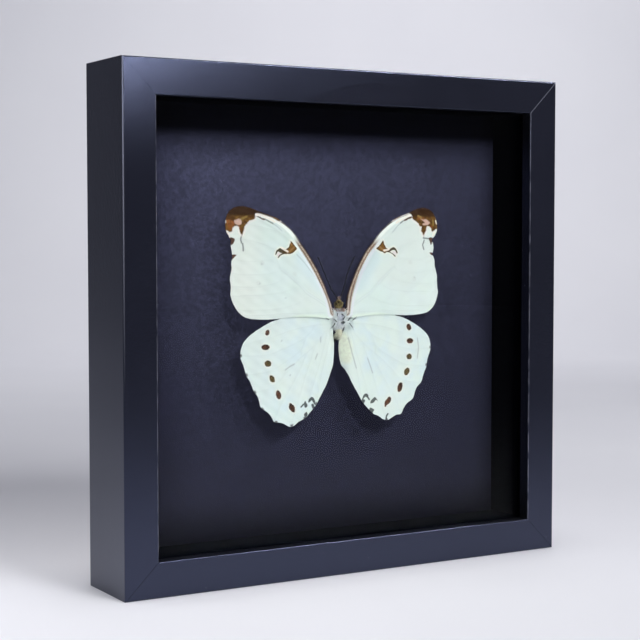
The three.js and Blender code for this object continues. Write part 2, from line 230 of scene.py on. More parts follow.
def smoothCurve(points, step, closed=False):  # centripetal Catmull-Rom
    p = np.array(points, float)
    count = len(p)
    out = []
    for i in range(count if closed else count - 1):
        p1, p2 = p[i], p[(i + 1) % count]
        p0 = p[i - 1] if closed or i > 0 else 2 * p1 - p2
        p3 = p[(i + 2) % count] if closed or i + 2 < count else 2 * p2 - p1
        gaps = [max(np.linalg.norm(b - a), 1e-6) ** 0.5 for a, b in ((p0, p1), (p1, p2), (p2, p3))]
        t0, t1, t2, t3 = np.cumsum([0, *gaps])
        for t in np.linspace(t1, t2, max(1, math.ceil(np.linalg.norm(p2 - p1) / step)), endpoint=False):
            a1 = ((t1 - t) * p0 + (t - t0) * p1) / (t1 - t0)
            a2 = ((t2 - t) * p1 + (t - t1) * p2) / (t2 - t1)
            a3 = ((t3 - t) * p2 + (t - t2) * p3) / (t3 - t2)
            b1 = ((t2 - t) * a1 + (t - t0) * a2) / (t2 - t0)
            b2 = ((t3 - t) * a2 + (t - t1) * a3) / (t3 - t1)
            out.append(((t2 - t) * b1 + (t - t1) * b2) / (t2 - t1))
    if not closed:
        out.append(p[-1])
    return np.array(out)


def awayFrom(points, line, closed=False):  # distance to a line, and whether it's inside a loop
    best = np.full(len(points), 1e9)
    inside = np.zeros(len(points), bool)
    ends = np.roll(line, -1, axis=0) if closed else line[1:]
    x, z = points[:, 0], points[:, 1]
    for (ax, az), (bx, bz) in zip(line, ends):
        ex, ez = bx - ax, bz - az
        t = np.clip(((x - ax) * ex + (z - az) * ez) / (ex * ex + ez * ez + 1e-12), 0, 1)
        best = np.minimum(best, (x - ax - t * ex) ** 2 + (z - az - t * ez) ** 2)
        if closed and az != bz:
            inside ^= ((az > z) != (bz > z)) & (x < ex * (z - az) / ez + ax)
    return np.sqrt(best), inside


def insideBy(points, loop, step=0.5):  # mm inside a smooth loop, negative outside
    away, inside = awayFrom(points, smoothCurve(loop, step, True), True)
    return np.where(inside, away, -away)


def nearTo(points, lines, step=0.8):
    return np.min([awayFrom(points, smoothCurve(line, step))[0] for line in lines], axis=0)


def oval(x, z, long, short, angle, count=14):
    turn = math.radians(angle)
    around = np.linspace(0, 2 * math.pi, count, endpoint=False)
    u, v = long * np.cos(around), short * np.sin(around)
    c, s = math.cos(turn), math.sin(turn)
    return np.stack([x + u * c - v * s, z + u * s + v * c], 1)


def smoothstep(value, low, high):
    t = np.clip((value - low) / (high - low), 0, 1)
    return t * t * (3 - 2 * t)


def tube(name, path, sides, material, nodes=(), step=0.4, rings=None):
    # path holds x, depth, z and radius; rings is (pitch, depth) of the joints along it
    line = smoothCurve(path, step)
    centres = np.array([place(*p[:3]) for p in line])
    radii = line[:, 3] / 1000
    if rings:
        travel = np.concatenate([[0], np.cumsum(np.linalg.norm(np.diff(line[:, :3], axis=0), axis=1))])
        radii = radii * (1 - rings[1] * (0.5 + 0.5 * np.cos(travel / rings[0] * 2 * math.pi)) ** 3)
    points = []
    last = len(centres) - 1
    side = Vector((0.3, 1, 0.2))
    for i, centre in enumerate(centres):
        ahead = Vector(centres[min(i + 1, last)] - centres[max(i - 1, 0)]).normalized()
        side = side - ahead * side.dot(ahead)
        side.normalize()
        other = ahead.cross(side)
        for turn in np.linspace(0, 2 * math.pi, sides, endpoint=False):
            spoke = side * math.cos(turn) + other * math.sin(turn)
            points.append(Vector(centre) + float(radii[i]) * spoke)
    faces = bands(len(centres), sides)
    for i in (0, last):  # rounded ends
        ahead = Vector(centres[i] - centres[abs(i - 1)]).normalized()
        faces += cone(i * sides, sides, len(points), flip=i == 0)
        points.append(Vector(centres[i]) + ahead * float(radii[i]) * 0.6)
    return makePiece(name, points, faces, material, nodes)


def growHair(name, look, roots, ways, lengths, material, seed):
    # one tapered closed strand for each root, all in mm; look's bend is the pull on the tips
    rng = np.random.default_rng(seed)
    count = len(roots)
    roots = np.asarray(roots, float)
    ways = np.asarray(ways, float)
    ways = ways / np.linalg.norm(ways, axis=1)[:, None]
    width = look["width"]
    bends = np.array(look["bend"], float)[None, :] * rng.uniform(0.3, 1.3, (count, 1))
    bends = bends + rng.normal(0, 0.14, (count, 3))
    across = np.cross(ways, rng.normal(0, 1, (count, 3)))
    across /= np.linalg.norm(across, axis=1)[:, None]
    other = np.cross(ways, across)
    cuts = [(0.0, 1.0), (0.35, 0.85), (0.7, 0.55), (1.0, 0.0)]  # share of the length, share of the width
    thirds = [math.radians(turn) for turn in (0, 120, 240)]
    points = []
    for t, thick in cuts:
        mid = roots + lengths[:, None] * (ways * t + bends * t * t)
        if thick == 0:
            points.append(mid[:, None, :])
        else:
            ring = [mid + width * thick * (across * math.cos(a) + other * math.sin(a)) for a in thirds]
            points.append(np.stack(ring, 1))
    points = np.concatenate(points, 1).reshape(-1, 3)
    pattern = [(2, 1, 0)] + bands(3, 3) + cone(6, 3, 9)
    perStrand = 10
    faces = [[index + strand * perStrand for index in face] for strand in range(count) for face in pattern]
    reach = np.repeat([t for t, _ in cuts], [3, 3, 3, 1])
    fields = {"shade": np.repeat(rng.uniform(0, 1, count), perStrand), "reach": np.tile(reach, count)}
    return makePiece(name, [place(*p) for p in points], faces, material, fields=fields)


# lens and sensor in mm, the camera's place in metres, down and yaw in degrees
shot = {"lens": 87.585, "sensor": 36, "at": (-0.35899, -0.59452, 0.14911), "down": 3.168, "yaw": -30.594}
yaw = math.radians(shot["yaw"])
view = bpy.data.cameras.new("view")
view.lens = shot["lens"]
view.sensor_width = shot["sensor"]
camera = bpy.data.objects.new("view", view)
camera.location = shot["at"]
camera.rotation_euler = (math.radians(90 - shot["down"]), 0, yaw)
scene.collection.objects.link(camera)
scene.camera = camera
print("camera set")

# floor and backdrop in one sweep, square to the view, in metres
stage = {"ahead": 1.3, "behind": 1.15, "wide": 2.4, "bend": 0.5, "bendSteps": 16, "tall": 2.6}
sweepLine = [(-stage["ahead"], 0.0), (0.0, 0.0), (stage["behind"], 0.0)]
for i in range(1, stage["bendSteps"] + 1):
    turn = math.pi / 2 * i / stage["bendSteps"]
    sweepLine.append((stage["behind"] + stage["bend"] * math.sin(turn),
                      stage["bend"] * (1 - math.cos(turn))))
sweepLine.append((stage["behind"] + stage["bend"], stage["tall"]))
right, back = (math.cos(yaw), math.sin(yaw)), (-math.sin(yaw), math.cos(yaw))
sweepPoints = [(x * right[0] + forward * back[0], x * right[1] + forward * back[1], up)
               for forward, up in sweepLine for x in (-stage["wide"], stage["wide"])]
sweepFaces = [(2 * i, 2 * i + 1, 2 * i + 3, 2 * i + 2) for i in range(len(sweepLine) - 1)]


def paleSweep():
    paint = Paint("paleSweep")
    mottle = paint.noise(160, 2)
    colour = paint.mix(mottle, tint(232, 232, 238), tint(238, 238, 243))
    return paint.finish({"Base Color": colour, "Roughness": 0.75, "Specular IOR Level": 0.3})


sweepMesh = bpy.data.meshes.new("sweep")
sweepMesh.from_pydata(sweepPoints, [], sweepFaces)
sweepMesh.polygons.foreach_set("use_smooth", [True] * len(sweepMesh.polygons))
sweepMesh.materials.append(paleSweep())
sweep = bpy.data.objects.new("sweep", sweepMesh)
scene.collection.objects.link(sweep)

# how the names of the butterfly's pieces start, for the lamps that pass it by
butterflyNames = ["forewing", "hindwing", "thorax", "head", "abdomen", "collar", "palp", "eye", "antenna",
                  "leg", "shoulder", "darklocks"]
lamps = {  # metres, degrees and watts
    "keySoftbox": {
        "at": (0.33, -1.15, 0.92), "aim": (0, 0, 0.1), "size": (0.7, 0.4), "spread": 40, "watts": 0.9},
    "boardLampRight": {
        "at": (0.04, -0.1, 0.256), "aim": (-0.02, 0.01, 0.13), "size": (0.045, 0.04), "spread": 170,
        "watts": 0.62, "lights": ["mount_board"], "passes": butterflyNames},
    "boardLampLeft": {
        "at": (-0.12, -0.11, 0.262), "aim": (-0.04, 0.01, 0.13), "size": (0.045, 0.04), "spread": 170,
        "watts": 1.85, "lights": ["mount_board"], "passes": butterflyNames},
    "shadowLamp": {
        "at": (-0.27, -1.2, 0.7), "aim": (-0.02, 0.01, 0.1), "size": (0.16, 0.16), "spread": 170,
        "watts": 27.0, "lights": ["mount_board"]},
    "railStrip": {
        "at": (0.36, -1.15, 0.38), "aim": (-0.05, -0.02, 0.258), "size": (0.16, 0.05), "spread": 6,
        "watts": 0.006},
    "arrisLamp": {
        "at": (0.5, -0.45, 0.75), "aim": (0, 0, 0.1), "size": (0.35, 0.35), "spread": 60, "watts": 0.8,
        "lights": ["rail"]},
    "cornerLamp": {
        "at": (-0.85, -0.75, 0.35), "aim": (0, 0, 0.17), "size": (0.12, 0.12), "spread": 30, "watts": 0.05,
        "lights": ["rail"]},
    "frontFloorBox": {
        "at": (-0.05, -0.1, 1.3), "aim": (-0.05, -0.1, 0), "size": (0.5, 0.4), "spread": 30, "watts": 0.38},
    "leftFloorBox": {
        "at": (-0.45, 0.05, 1.3), "aim": (-0.45, 0.05, 0), "size": (0.4, 0.5), "spread": 36, "watts": 0.57},
    "rightFloorBox": {
        "at": (0.45, 0.1, 1.3), "aim": (0.45, 0.1, 0), "size": (0.4, 0.5), "spread": 36, "watts": 0.3},
    "wallLamp": {
        "at": (0.55, 0.35, 1.5), "aim": (0.75, 1.3, 0.55), "size": (0.8, 0.3), "spread": 120, "watts": 8.5},
}
roomLight = {"colour": (0.62, 0.64, 0.76, 1), "strength": 0.21}
for name, lamp in lamps.items():
    light = bpy.data.lights.new(name, "AREA")
    light.shape = "RECTANGLE"
    light.size, light.size_y = lamp["size"]
    light.energy = lamp["watts"]
    softbox = bpy.data.objects.new(name, light)
    softbox.location = lamp["at"]
    softbox.rotation_euler = (Vector(lamp["aim"]) - Vector(lamp["at"])).to_track_quat("-Z", "Y").to_euler()
    light.spread = math.radians(lamp["spread"])
    light.cycles.use_multiple_importance_sampling = False  # or the glass counts it twice
    scene.collection.objects.link(softbox)
    lamp["softbox"] = softbox
room = bpy.data.worlds.new("room")
room.use_nodes = True
sky = room.node_tree.nodes["Background"].inputs
sky["Color"].default_value = roomLight["colour"]
sky["Strength"].default_value = roomLight["strength"]
scene.world = room
print("stage and lights set")

# four mitred lengths of one moulding, in mm
rail = {"half": 110.0, "face": 15.0, "depth": 37.5, "arris": 0.8, "lipArris": 0.4, "lipDepth": 6.0,
        "wall": 10.0, "mitreGap": 0.03, "eased": 0.06, "stations": [-1, -0.5, 0, 0.5, 1]}
tab = {"offset": 60.0, "front": 34.4, "thickness": 0.6, "width": 7.0, "sunk": 4.0, "play": 0.3}
# painted highlights along the rails' edges and the upper right mitre, as pale lines in the lacquer's colour
edgeHighlights = {"outer": 109.6, "inner": 95.2, "innerEnd": (95.4, 94.8), "front": (-17.9, -18.3),
          "outerRise": (70, 190), "mitreFrom": (86, 96),
          "outerShare": 0.48, "mitreShare": 0.4, "innerShare": (0.04, 0.24)}  # inner: least, and where patchy


def blackLacquer():
    paint = Paint("blackLacquer")
    peel = paint.noise(1.5, 2, 0.55)
    finePeel = paint.noise(0.45, 2, 0.5)
    drift = paint.noise(30, 3)
    flecks = paint.fade(paint.cells(5.5), 0.030, 0.022) * paint.fade(paint.noise(9, 1), 0.5, 0.6)
    deep = paint.mix(drift, tint(15, 15, 18), tint(20, 20, 25))
    colour = paint.mix(flecks * 0.8, deep, tint(150, 152, 160))
    # painted highlights: pale lines along the outer left edge, both inner uprights and the upper right mitre
    x, y, z = paint.along("X"), paint.along("Y"), paint.along("Z")
    up = z - rail["half"]
    patchy = paint.fade(paint.noise(6, 3), 0.35, 0.6)
    least, most = edgeHighlights["innerShare"]
    outer = paint.stripe(x, -edgeHighlights["outer"], 0.45) * paint.fade(z, *edgeHighlights["outerRise"])
    inner = paint.stripe(abs(x), edgeHighlights["inner"], 0.35) * paint.fade(abs(up), *edgeHighlights["innerEnd"])
    mitre = paint.stripe(x - up, 0, 0.35) * paint.fade(x, *edgeHighlights["mitreFrom"])
    pale = outer * edgeHighlights["outerShare"] + inner * (least + most * patchy) + mitre * edgeHighlights["mitreShare"]
    pale = pale * paint.fade(y, *edgeHighlights["front"])
    colour = paint.mix(pale, colour, tint(170, 172, 186))
    return paint.finish({
        "Base Color": colour, "Roughness": 0.16 + 0.05 * drift + 0.04 * finePeel + 0.25 * flecks,
        "Specular IOR Level": 0.95, "Specular Tint": (0.52, 0.6, 1.0, 1)},
        height=peel + 0.35 * finePeel, depth=0.05, strength=0.55)


lacquer = blackLacquer()


def arc(cx, cy, radius, start, end, count=7):
    turns = np.radians(np.linspace(start, end, count))
    return [(cx + radius * math.cos(t), cy + radius * math.sin(t)) for t in turns]


railOutline = arc(rail["arris"], rail["arris"], rail["arris"], 180, 270)
railOutline += arc(rail["face"] - rail["lipArris"], rail["lipArris"], rail["lipArris"], 270, 360, 6)
railOutline += [(rail["face"], rail["lipDepth"]), (rail["wall"], rail["lipDepth"]),
                (rail["wall"], rail["depth"])]
railOutline += arc(rail["arris"], rail["depth"] - rail["arris"], rail["arris"], 90, 180)


def turned(quarter, along, inward, depth):
    x, z = along, inward - rail["half"]
    for _ in range(quarter):
        x, z = z, -x
    return place(x, depth, z + rail["half"])


def boxFaces(points):  # eight corners, low and high of x, y, z in turn
    low, high = np.min(points, axis=0), np.max(points, axis=0)
    corners = [(x, y, z) for x in (low[0], high[0]) for y in (low[1], high[1]) for z in (low[2], high[2])]
    return corners, [(0, 1, 3, 2), (4, 6, 7, 5), (0, 4, 5, 1), (2, 3, 7, 6), (0, 2, 6, 4), (1, 5, 7, 3)]


for quarter, side in enumerate(("bottom", "left", "top", "right")):
    ring, last = len(railOutline), len(rail["stations"]) - 1
    points = [turned(quarter, station * (rail["half"] - inward - rail["mitreGap"]), inward, depth)
              for station in rail["stations"] for inward, depth in railOutline]
    faces = bands(last + 1, ring)
    faces += [tuple(reversed(range(ring))), tuple(range(last * ring, (last + 1) * ring))]
    piece = makePiece("rail" + side.capitalize(), points, faces, lacquer,
                      ["frame_rail_" + side], sharpAngle=35)
    form = bmesh.new()
    form.from_mesh(piece.data)
    bmesh.ops.recalc_face_normals(form, faces=form.faces)
    form.to_mesh(piece.data)
    form.free()
    for sign in (-1, 1):  # a slot for each tab
        reach = tab["width"] / 2 + tab["play"]
        depths = (tab["front"] - tab["play"], tab["front"] + tab["thickness"] + tab["play"])
        corners, sides = boxFaces([
            turned(quarter, sign * tab["offset"] + end * reach, inward, depth) for end in (-1, 1)
            for inward in (rail["wall"] - tab["sunk"] - tab["play"], rail["wall"] + 1) for depth in depths])
        cutMesh = bpy.data.meshes.new("cut")
        cutMesh.from_pydata(corners, [], sides)
        cutter = bpy.data.objects.new("cut", cutMesh)
        scene.collection.objects.link(cutter)
        cut = piece.modifiers.new("slot", "BOOLEAN")
        cut.operation = "DIFFERENCE"
        cut.solver = "EXACT"
        cut.object = cutter
        settle(piece)
        bpy.data.objects.remove(cutter)
    easeEdges(piece, rail["eased"], angle=40)
print("frame rails made")


def clearGlass():
    paint = Paint("clearGlass")
    smear = paint.noise(45, 4, 0.6, warp=1.5)
    glass = paint.add("ShaderNodeBsdfPrincipled", None, {
        "Base Color": (0.97, 0.99, 0.985, 1), "Roughness": 0.004 + 0.03 * paint.fade(smear, 0.55, 0.8),
        "Transmission Weight": 1.0, "IOR": 1.13})
    through = paint.add("ShaderNodeBsdfTransparent", None, {"Color": (0.96, 0.98, 0.975, 1)})
    shadowRay = paint.add("ShaderNodeLightPath", output="Is Shadow Ray")
    shader = paint.add("ShaderNodeMixShader", None, [shadowRay, glass, through])
    paint.add("ShaderNodeOutputMaterial", None, [shader])
    return paint.material


def blackCard(name, light, roughness, gloss, grain, rim=None):  # rim says where painted shade darkens its edges
    paint = Paint(name)
    fibre = paint.noise(1.4, 5, 0.66)
    cloud = paint.noise(26, 3)
    lint = paint.fade(paint.cells(7), 0.022, 0.014) * paint.fade(paint.noise(11, 1), 0.52, 0.6)
    deep = paint.mix(cloud, light[0], light[1])
    colour = paint.mix(paint.fade(fibre, 0.38, 0.66) * 0.8, deep, light[2])
    colour = paint.mix(lint * 0.5, colour, tint(30, 30, 38))
    # painted shade: the colour darkens towards the left, right and bottom edges, where the light falls off
    if rim:
        x, z = paint.along("X"), paint.along("Z")
        lit = 1
        for value, (dark, clear, share) in ((x, rim["left"]), (x, rim["right"]), (z, rim["bottom"])):
            lit = lit * (1 - share * paint.fade(value, clear, dark))
        colour = paint.mix(lit, tint(0, 0, 1), colour)
    return paint.finish({
        "Base Color": colour, "Roughness": roughness + 0.08 * fibre, "Specular IOR Level": gloss,
        "Specular Tint": (0.5, 0.56, 1.0, 1)}, height=fibre, depth=0.05, strength=grain)


def hardboard():
    paint = Paint("hardboard")
    fibre = paint.noise(0.9, 5, 0.65, stretch=(1, 1, 0.45))
    blotch = paint.noise(22, 4, 0.6)
    across, upright = [paint.add("ShaderNodeTexWave", {"bands_direction": way}, {
        "Vector": paint.coords, "Scale": 190.0, "Distortion": 0.6}) for way in "XZ"]
    screen = across * upright
    brown = paint.mix(blotch, tint(112, 78, 50), tint(139, 102, 68))
    brown = paint.mix(paint.fade(fibre, 0.45, 0.7) * 0.5, brown, tint(82, 56, 36))
    colour = paint.mix(0.35 * screen, brown, tint(160, 122, 86))
    return paint.finish({"Base Color": colour, "Roughness": 0.72 + 0.12 * fibre},
                        height=screen + 0.5 * fibre, depth=0.22, strength=0.7)


def platedSteel():
    paint = Paint("platedSteel")
    brushed = paint.noise(0.6, 4, 0.6, stretch=(0.12, 1, 1))
    bloom = paint.noise(3.5, 3)
    colour = paint.mix(bloom, tint(170, 171, 176), tint(196, 196, 198))
    colour = paint.mix(paint.fade(bloom, 0.62, 0.8) * 0.35, colour, tint(132, 124, 112))
    return paint.finish({
        "Base Color": colour, "Metallic": 1.0, "Roughness": 0.3 + 0.16 * brushed + 0.1 * bloom},
        height=brushed, depth=0.03, strength=0.5)


boardTints = (tint(13, 13, 20), tint(17, 17, 25), tint(22, 22, 33))
# painted shade: the walls use the board's black card in far darker tints, for the shade inside the box
shadedWallTints = (tint(2, 3, 6), tint(3, 4, 8), tint(6, 7, 12))
# painted shade on the board's edges: where it is dark, where it clears, and by how much it darkens
boardEdgeShade = {"left": (-96, -60, 0.6), "right": (104, 84, 0.8), "bottom": (12, 36, 0.85)}
eased = {"spacer": 0.15, "panel": 0.25, "steel": 0.1}
boardCard = blackCard("boardCard", boardTints, 0.7, 0.0, 0.2, boardEdgeShade)
wallCard = blackCard("wallCard", shadedWallTints, 0.6, 0.0, 0.2)
for node, material in (("glass_pane", clearGlass()), ("mount_board", boardCard)):
    finishes = frame["nodes"][node].data.materials
    finishes.clear()
    finishes.append(material)
for side in ("bottom", "top", "left", "right"):
    refine("spacer_" + side, "spacer" + side.capitalize(), wallCard, eased["spacer"])
refine("back_panel", "backPanel", hardboard(), eased["panel"])
steel = platedSteel()
for number in range(1, 9):
    refine("retaining_tab_%d" % number, "tab%d" % number, steel, eased["steel"])
refine("hanger", "sawtoothHanger", steel, eased["steel"])

rivet = {"x": 18.5, "z": 194.0, "shank": 1.0, "head": 2.1, "seat": 34.3 + 0.8 + 0.3, "height": 0.7,
         "shankEnd": 31.9, "turns": 32}
shank, head, seat, crest = rivet["shank"], rivet["head"], rivet["seat"], rivet["seat"] + rivet["height"]
rivetLine = [(0, rivet["shankEnd"]), (shank * 0.9, rivet["shankEnd"]), (shank, rivet["shankEnd"] + 0.1),
             (shank, seat - 0.02), (head - 0.08, seat), (head, seat + 0.06)]
rivetLine += [(head * math.cos(t), seat + 0.08 + (rivet["height"] - 0.08) * math.sin(t))
              for t in np.radians([12, 28, 44, 60, 74])]
rivetLine += [(0.35, crest - 0.03), (0.18, crest - 0.1), (0, crest - 0.12)]
for side, sign in (("Left", -1), ("Right", 1)):
    turns, rings = rivet["turns"], len(rivetLine) - 2
    around = np.linspace(0, 2 * math.pi, turns, endpoint=False)
    points = [place(sign * rivet["x"] + radius * math.cos(t), depth, rivet["z"] + radius * math.sin(t))
              for radius, depth in rivetLine[1:-1] for t in around]
    points += [place(sign * rivet["x"], depth, rivet["z"]) for depth in (rivetLine[0][1], rivetLine[-1][1])]
    faces = bands(rings, turns, flip=True)
    faces += cone(0, turns, rings * turns) + cone((rings - 1) * turns, turns, rings * turns + 1, flip=True)
    makePiece("rivet" + side, points, faces, steel, ["hanger_rivet_" + side.lower()],
              sharpAngle=40)
print("glass, spacers and back made")

# wing outlines, veins and marks are (distance from the middle, height) in mm
forewing = {
    "outline": [(3.2, 114.6), (4.3, 119.9), (6.1, 125), (8.4, 130), (11.1, 135), (13.3, 138.5),
                (15.8, 142), (18.3, 145), (20.8, 148), (23.1, 150.5), (25.6, 152.6), (28.2, 154.5),
                (31, 156.1), (34.6, 157.4), (39.2, 158.9), (43.9, 160.5), (47.4, 161), (50.4, 160.4),
                (52.8, 158.8), (54.3, 156.2), (54.9, 153.2), (54.6, 150.4), (53.3, 148.2), (51.6, 146.1),
                (52.2, 144.6), (52.4, 142.6), (51.9, 141), (51.5, 139.6), (52.2, 138.2), (52.7, 136.4),
                (52.6, 134.6), (53.2, 132.2), (53.7, 129.5), (53.4, 127.2), (53.5, 125.2), (53.9, 122.6),
                (53.3, 120), (52.2, 117.6), (50.6, 115.4), (48.2, 113.6), (45.3, 112.7), (41.6, 112.3),
                (36.4, 112.1), (30.7, 112.3), (24.4, 112.8), (17, 112.7), (9.8, 112.2), (4, 112)],
    "costa": 17,  # the leading edge is the outline up to this point
    "veins": [
        [(3.6, 116), (6.5, 123), (10.5, 131), (15.5, 139), (21, 145.6), (27.5, 151.6), (34, 155.4)],
        [(3.9, 116), (7.6, 123), (12.6, 131), (18.4, 138.4), (23.8, 145.6), (30, 150.4), (37, 154.3),
         (45, 157.6), (50, 158.4)],
        [(30, 150.4), (38, 152.2), (46, 153.6), (54, 153.8)],
        [(24.2, 145.8), (27, 143.2), (30.5, 142.4), (38, 145), (46, 146.8), (52, 147.2)],
        [(30.5, 142.4), (31.4, 139), (38, 137.8), (46, 137.4), (52, 139)],
        [(31.4, 139), (29.6, 134), (36, 131.9), (46, 131.7), (53, 132.4)],
        [(4.2, 115.6), (5.7, 116.6), (12.2, 120.7), (16.6, 123.2), (20, 126.5), (22.9, 129), (25.5, 131.2),
         (29.6, 134)],
        [(25.5, 131.2), (31, 128.3), (39, 126.6), (47, 126.4), (53.4, 126.8)],
        [(20.6, 127), (26, 124.5), (35, 123), (46.5, 122.8), (53.6, 122.4)],
        [(14.8, 122.2), (22, 118.6), (32, 116.6), (43, 116.4), (51, 116.8)],
        [(4.4, 114.6), (14, 114.4), (26, 114.5), (38, 114.1), (48, 114)]],
}
hindwing = {
    "outline": [(3.7, 111), (8, 113.9), (14, 114.4), (20, 114.5), (25.5, 113.6), (30.6, 112),
                (34.5, 110.9), (39.2, 108.7), (43.4, 106.3), (46.7, 103.7), (48.3, 101.7), (49, 99.8),
                (49.5, 96.8), (48.9, 94.6), (48, 92.6), (47.4, 90.4), (47, 88.2), (45.5, 86), (44.6, 83.8),
                (43.5, 80.9), (41.5, 79), (40.5, 76.8), (39.5, 73.8), (36.4, 71.8), (34.4, 69.6),
                (33, 67.2), (30.2, 66.9), (28, 66.1), (25.4, 64.8), (23, 65.3), (21.2, 66.6), (17.4, 68.3),
                (15.4, 70.3), (12, 73.8), (10.8, 75.9), (8.6, 79.4), (6.8, 82.3), (5.2, 85.6), (3.8, 88.2),
                (2.2, 90.6), (1.5, 94), (1.2, 98), (1.4, 101.4), (2.5, 104.2), (3.3, 107.4)],
    "veins": [
        [(4.4, 109.8), (12, 112.6), (24, 112), (36, 108.8), (41, 106.6)],
        [(4.6, 109.2), (12, 109), (22, 107.6), (32, 105), (42, 102.8), (48.4, 101)],
        [(12, 109), (17, 104), (26, 100), (36.6, 96.8), (49.2, 96.8)],
        [(17, 104), (19.5, 98.5), (27, 93.6), (35.2, 89.8), (46.8, 88.4)],
        [(5.2, 108.5), (9.4, 103.4), (14, 99), (19, 95.4), (26.5, 89), (33, 83.2), (43.6, 80.6)],
        [(19.5, 98.5), (19, 95.4)],
        [(16.4, 97.4), (20, 90), (25, 82), (29.4, 75), (33, 67.6)],
        [(12.4, 100.4), (14.8, 93.3), (17.5, 86.6), (20.6, 76.6), (24.6, 65.6)],
        [(6, 106.4), (8.6, 97), (12, 87), (15, 77.6), (17.2, 68.6)],
        [(4.6, 106), (4.9, 102.7), (6.7, 95.9), (8.8, 89.1), (10.6, 81), (12, 74.2)]],
}
wingBuild = {"spacing": 0.36, "thickness": 0.16, "thinEdge": 0.7, "ripple": 0.09, "pleat": 0.05, "press": 0.4}

# small departures of each side from the shared outline: x, z, reach, shift out, shift up
nudges = {
    ("forewing", -1): [(52.5, 119, 5, -0.45, 0.1), (51, 113, 4, -0.3, 0.2), (51.4, 146, 2.2, 0.9, 0),
                       (51.6, 139.8, 1.8, 0.6, 0)],
    ("forewing", 1): [(53.6, 126, 4, 0.15, 0)],
    ("hindwing", -1): [(46, 82, 6, -0.7, -0.1), (2.2, 105.5, 3, -0.8, 0)],
    ("hindwing", 1): [(46, 82, 6, 0.7, 0.1), (28, 66, 4, 0.3, -0.2)],
}

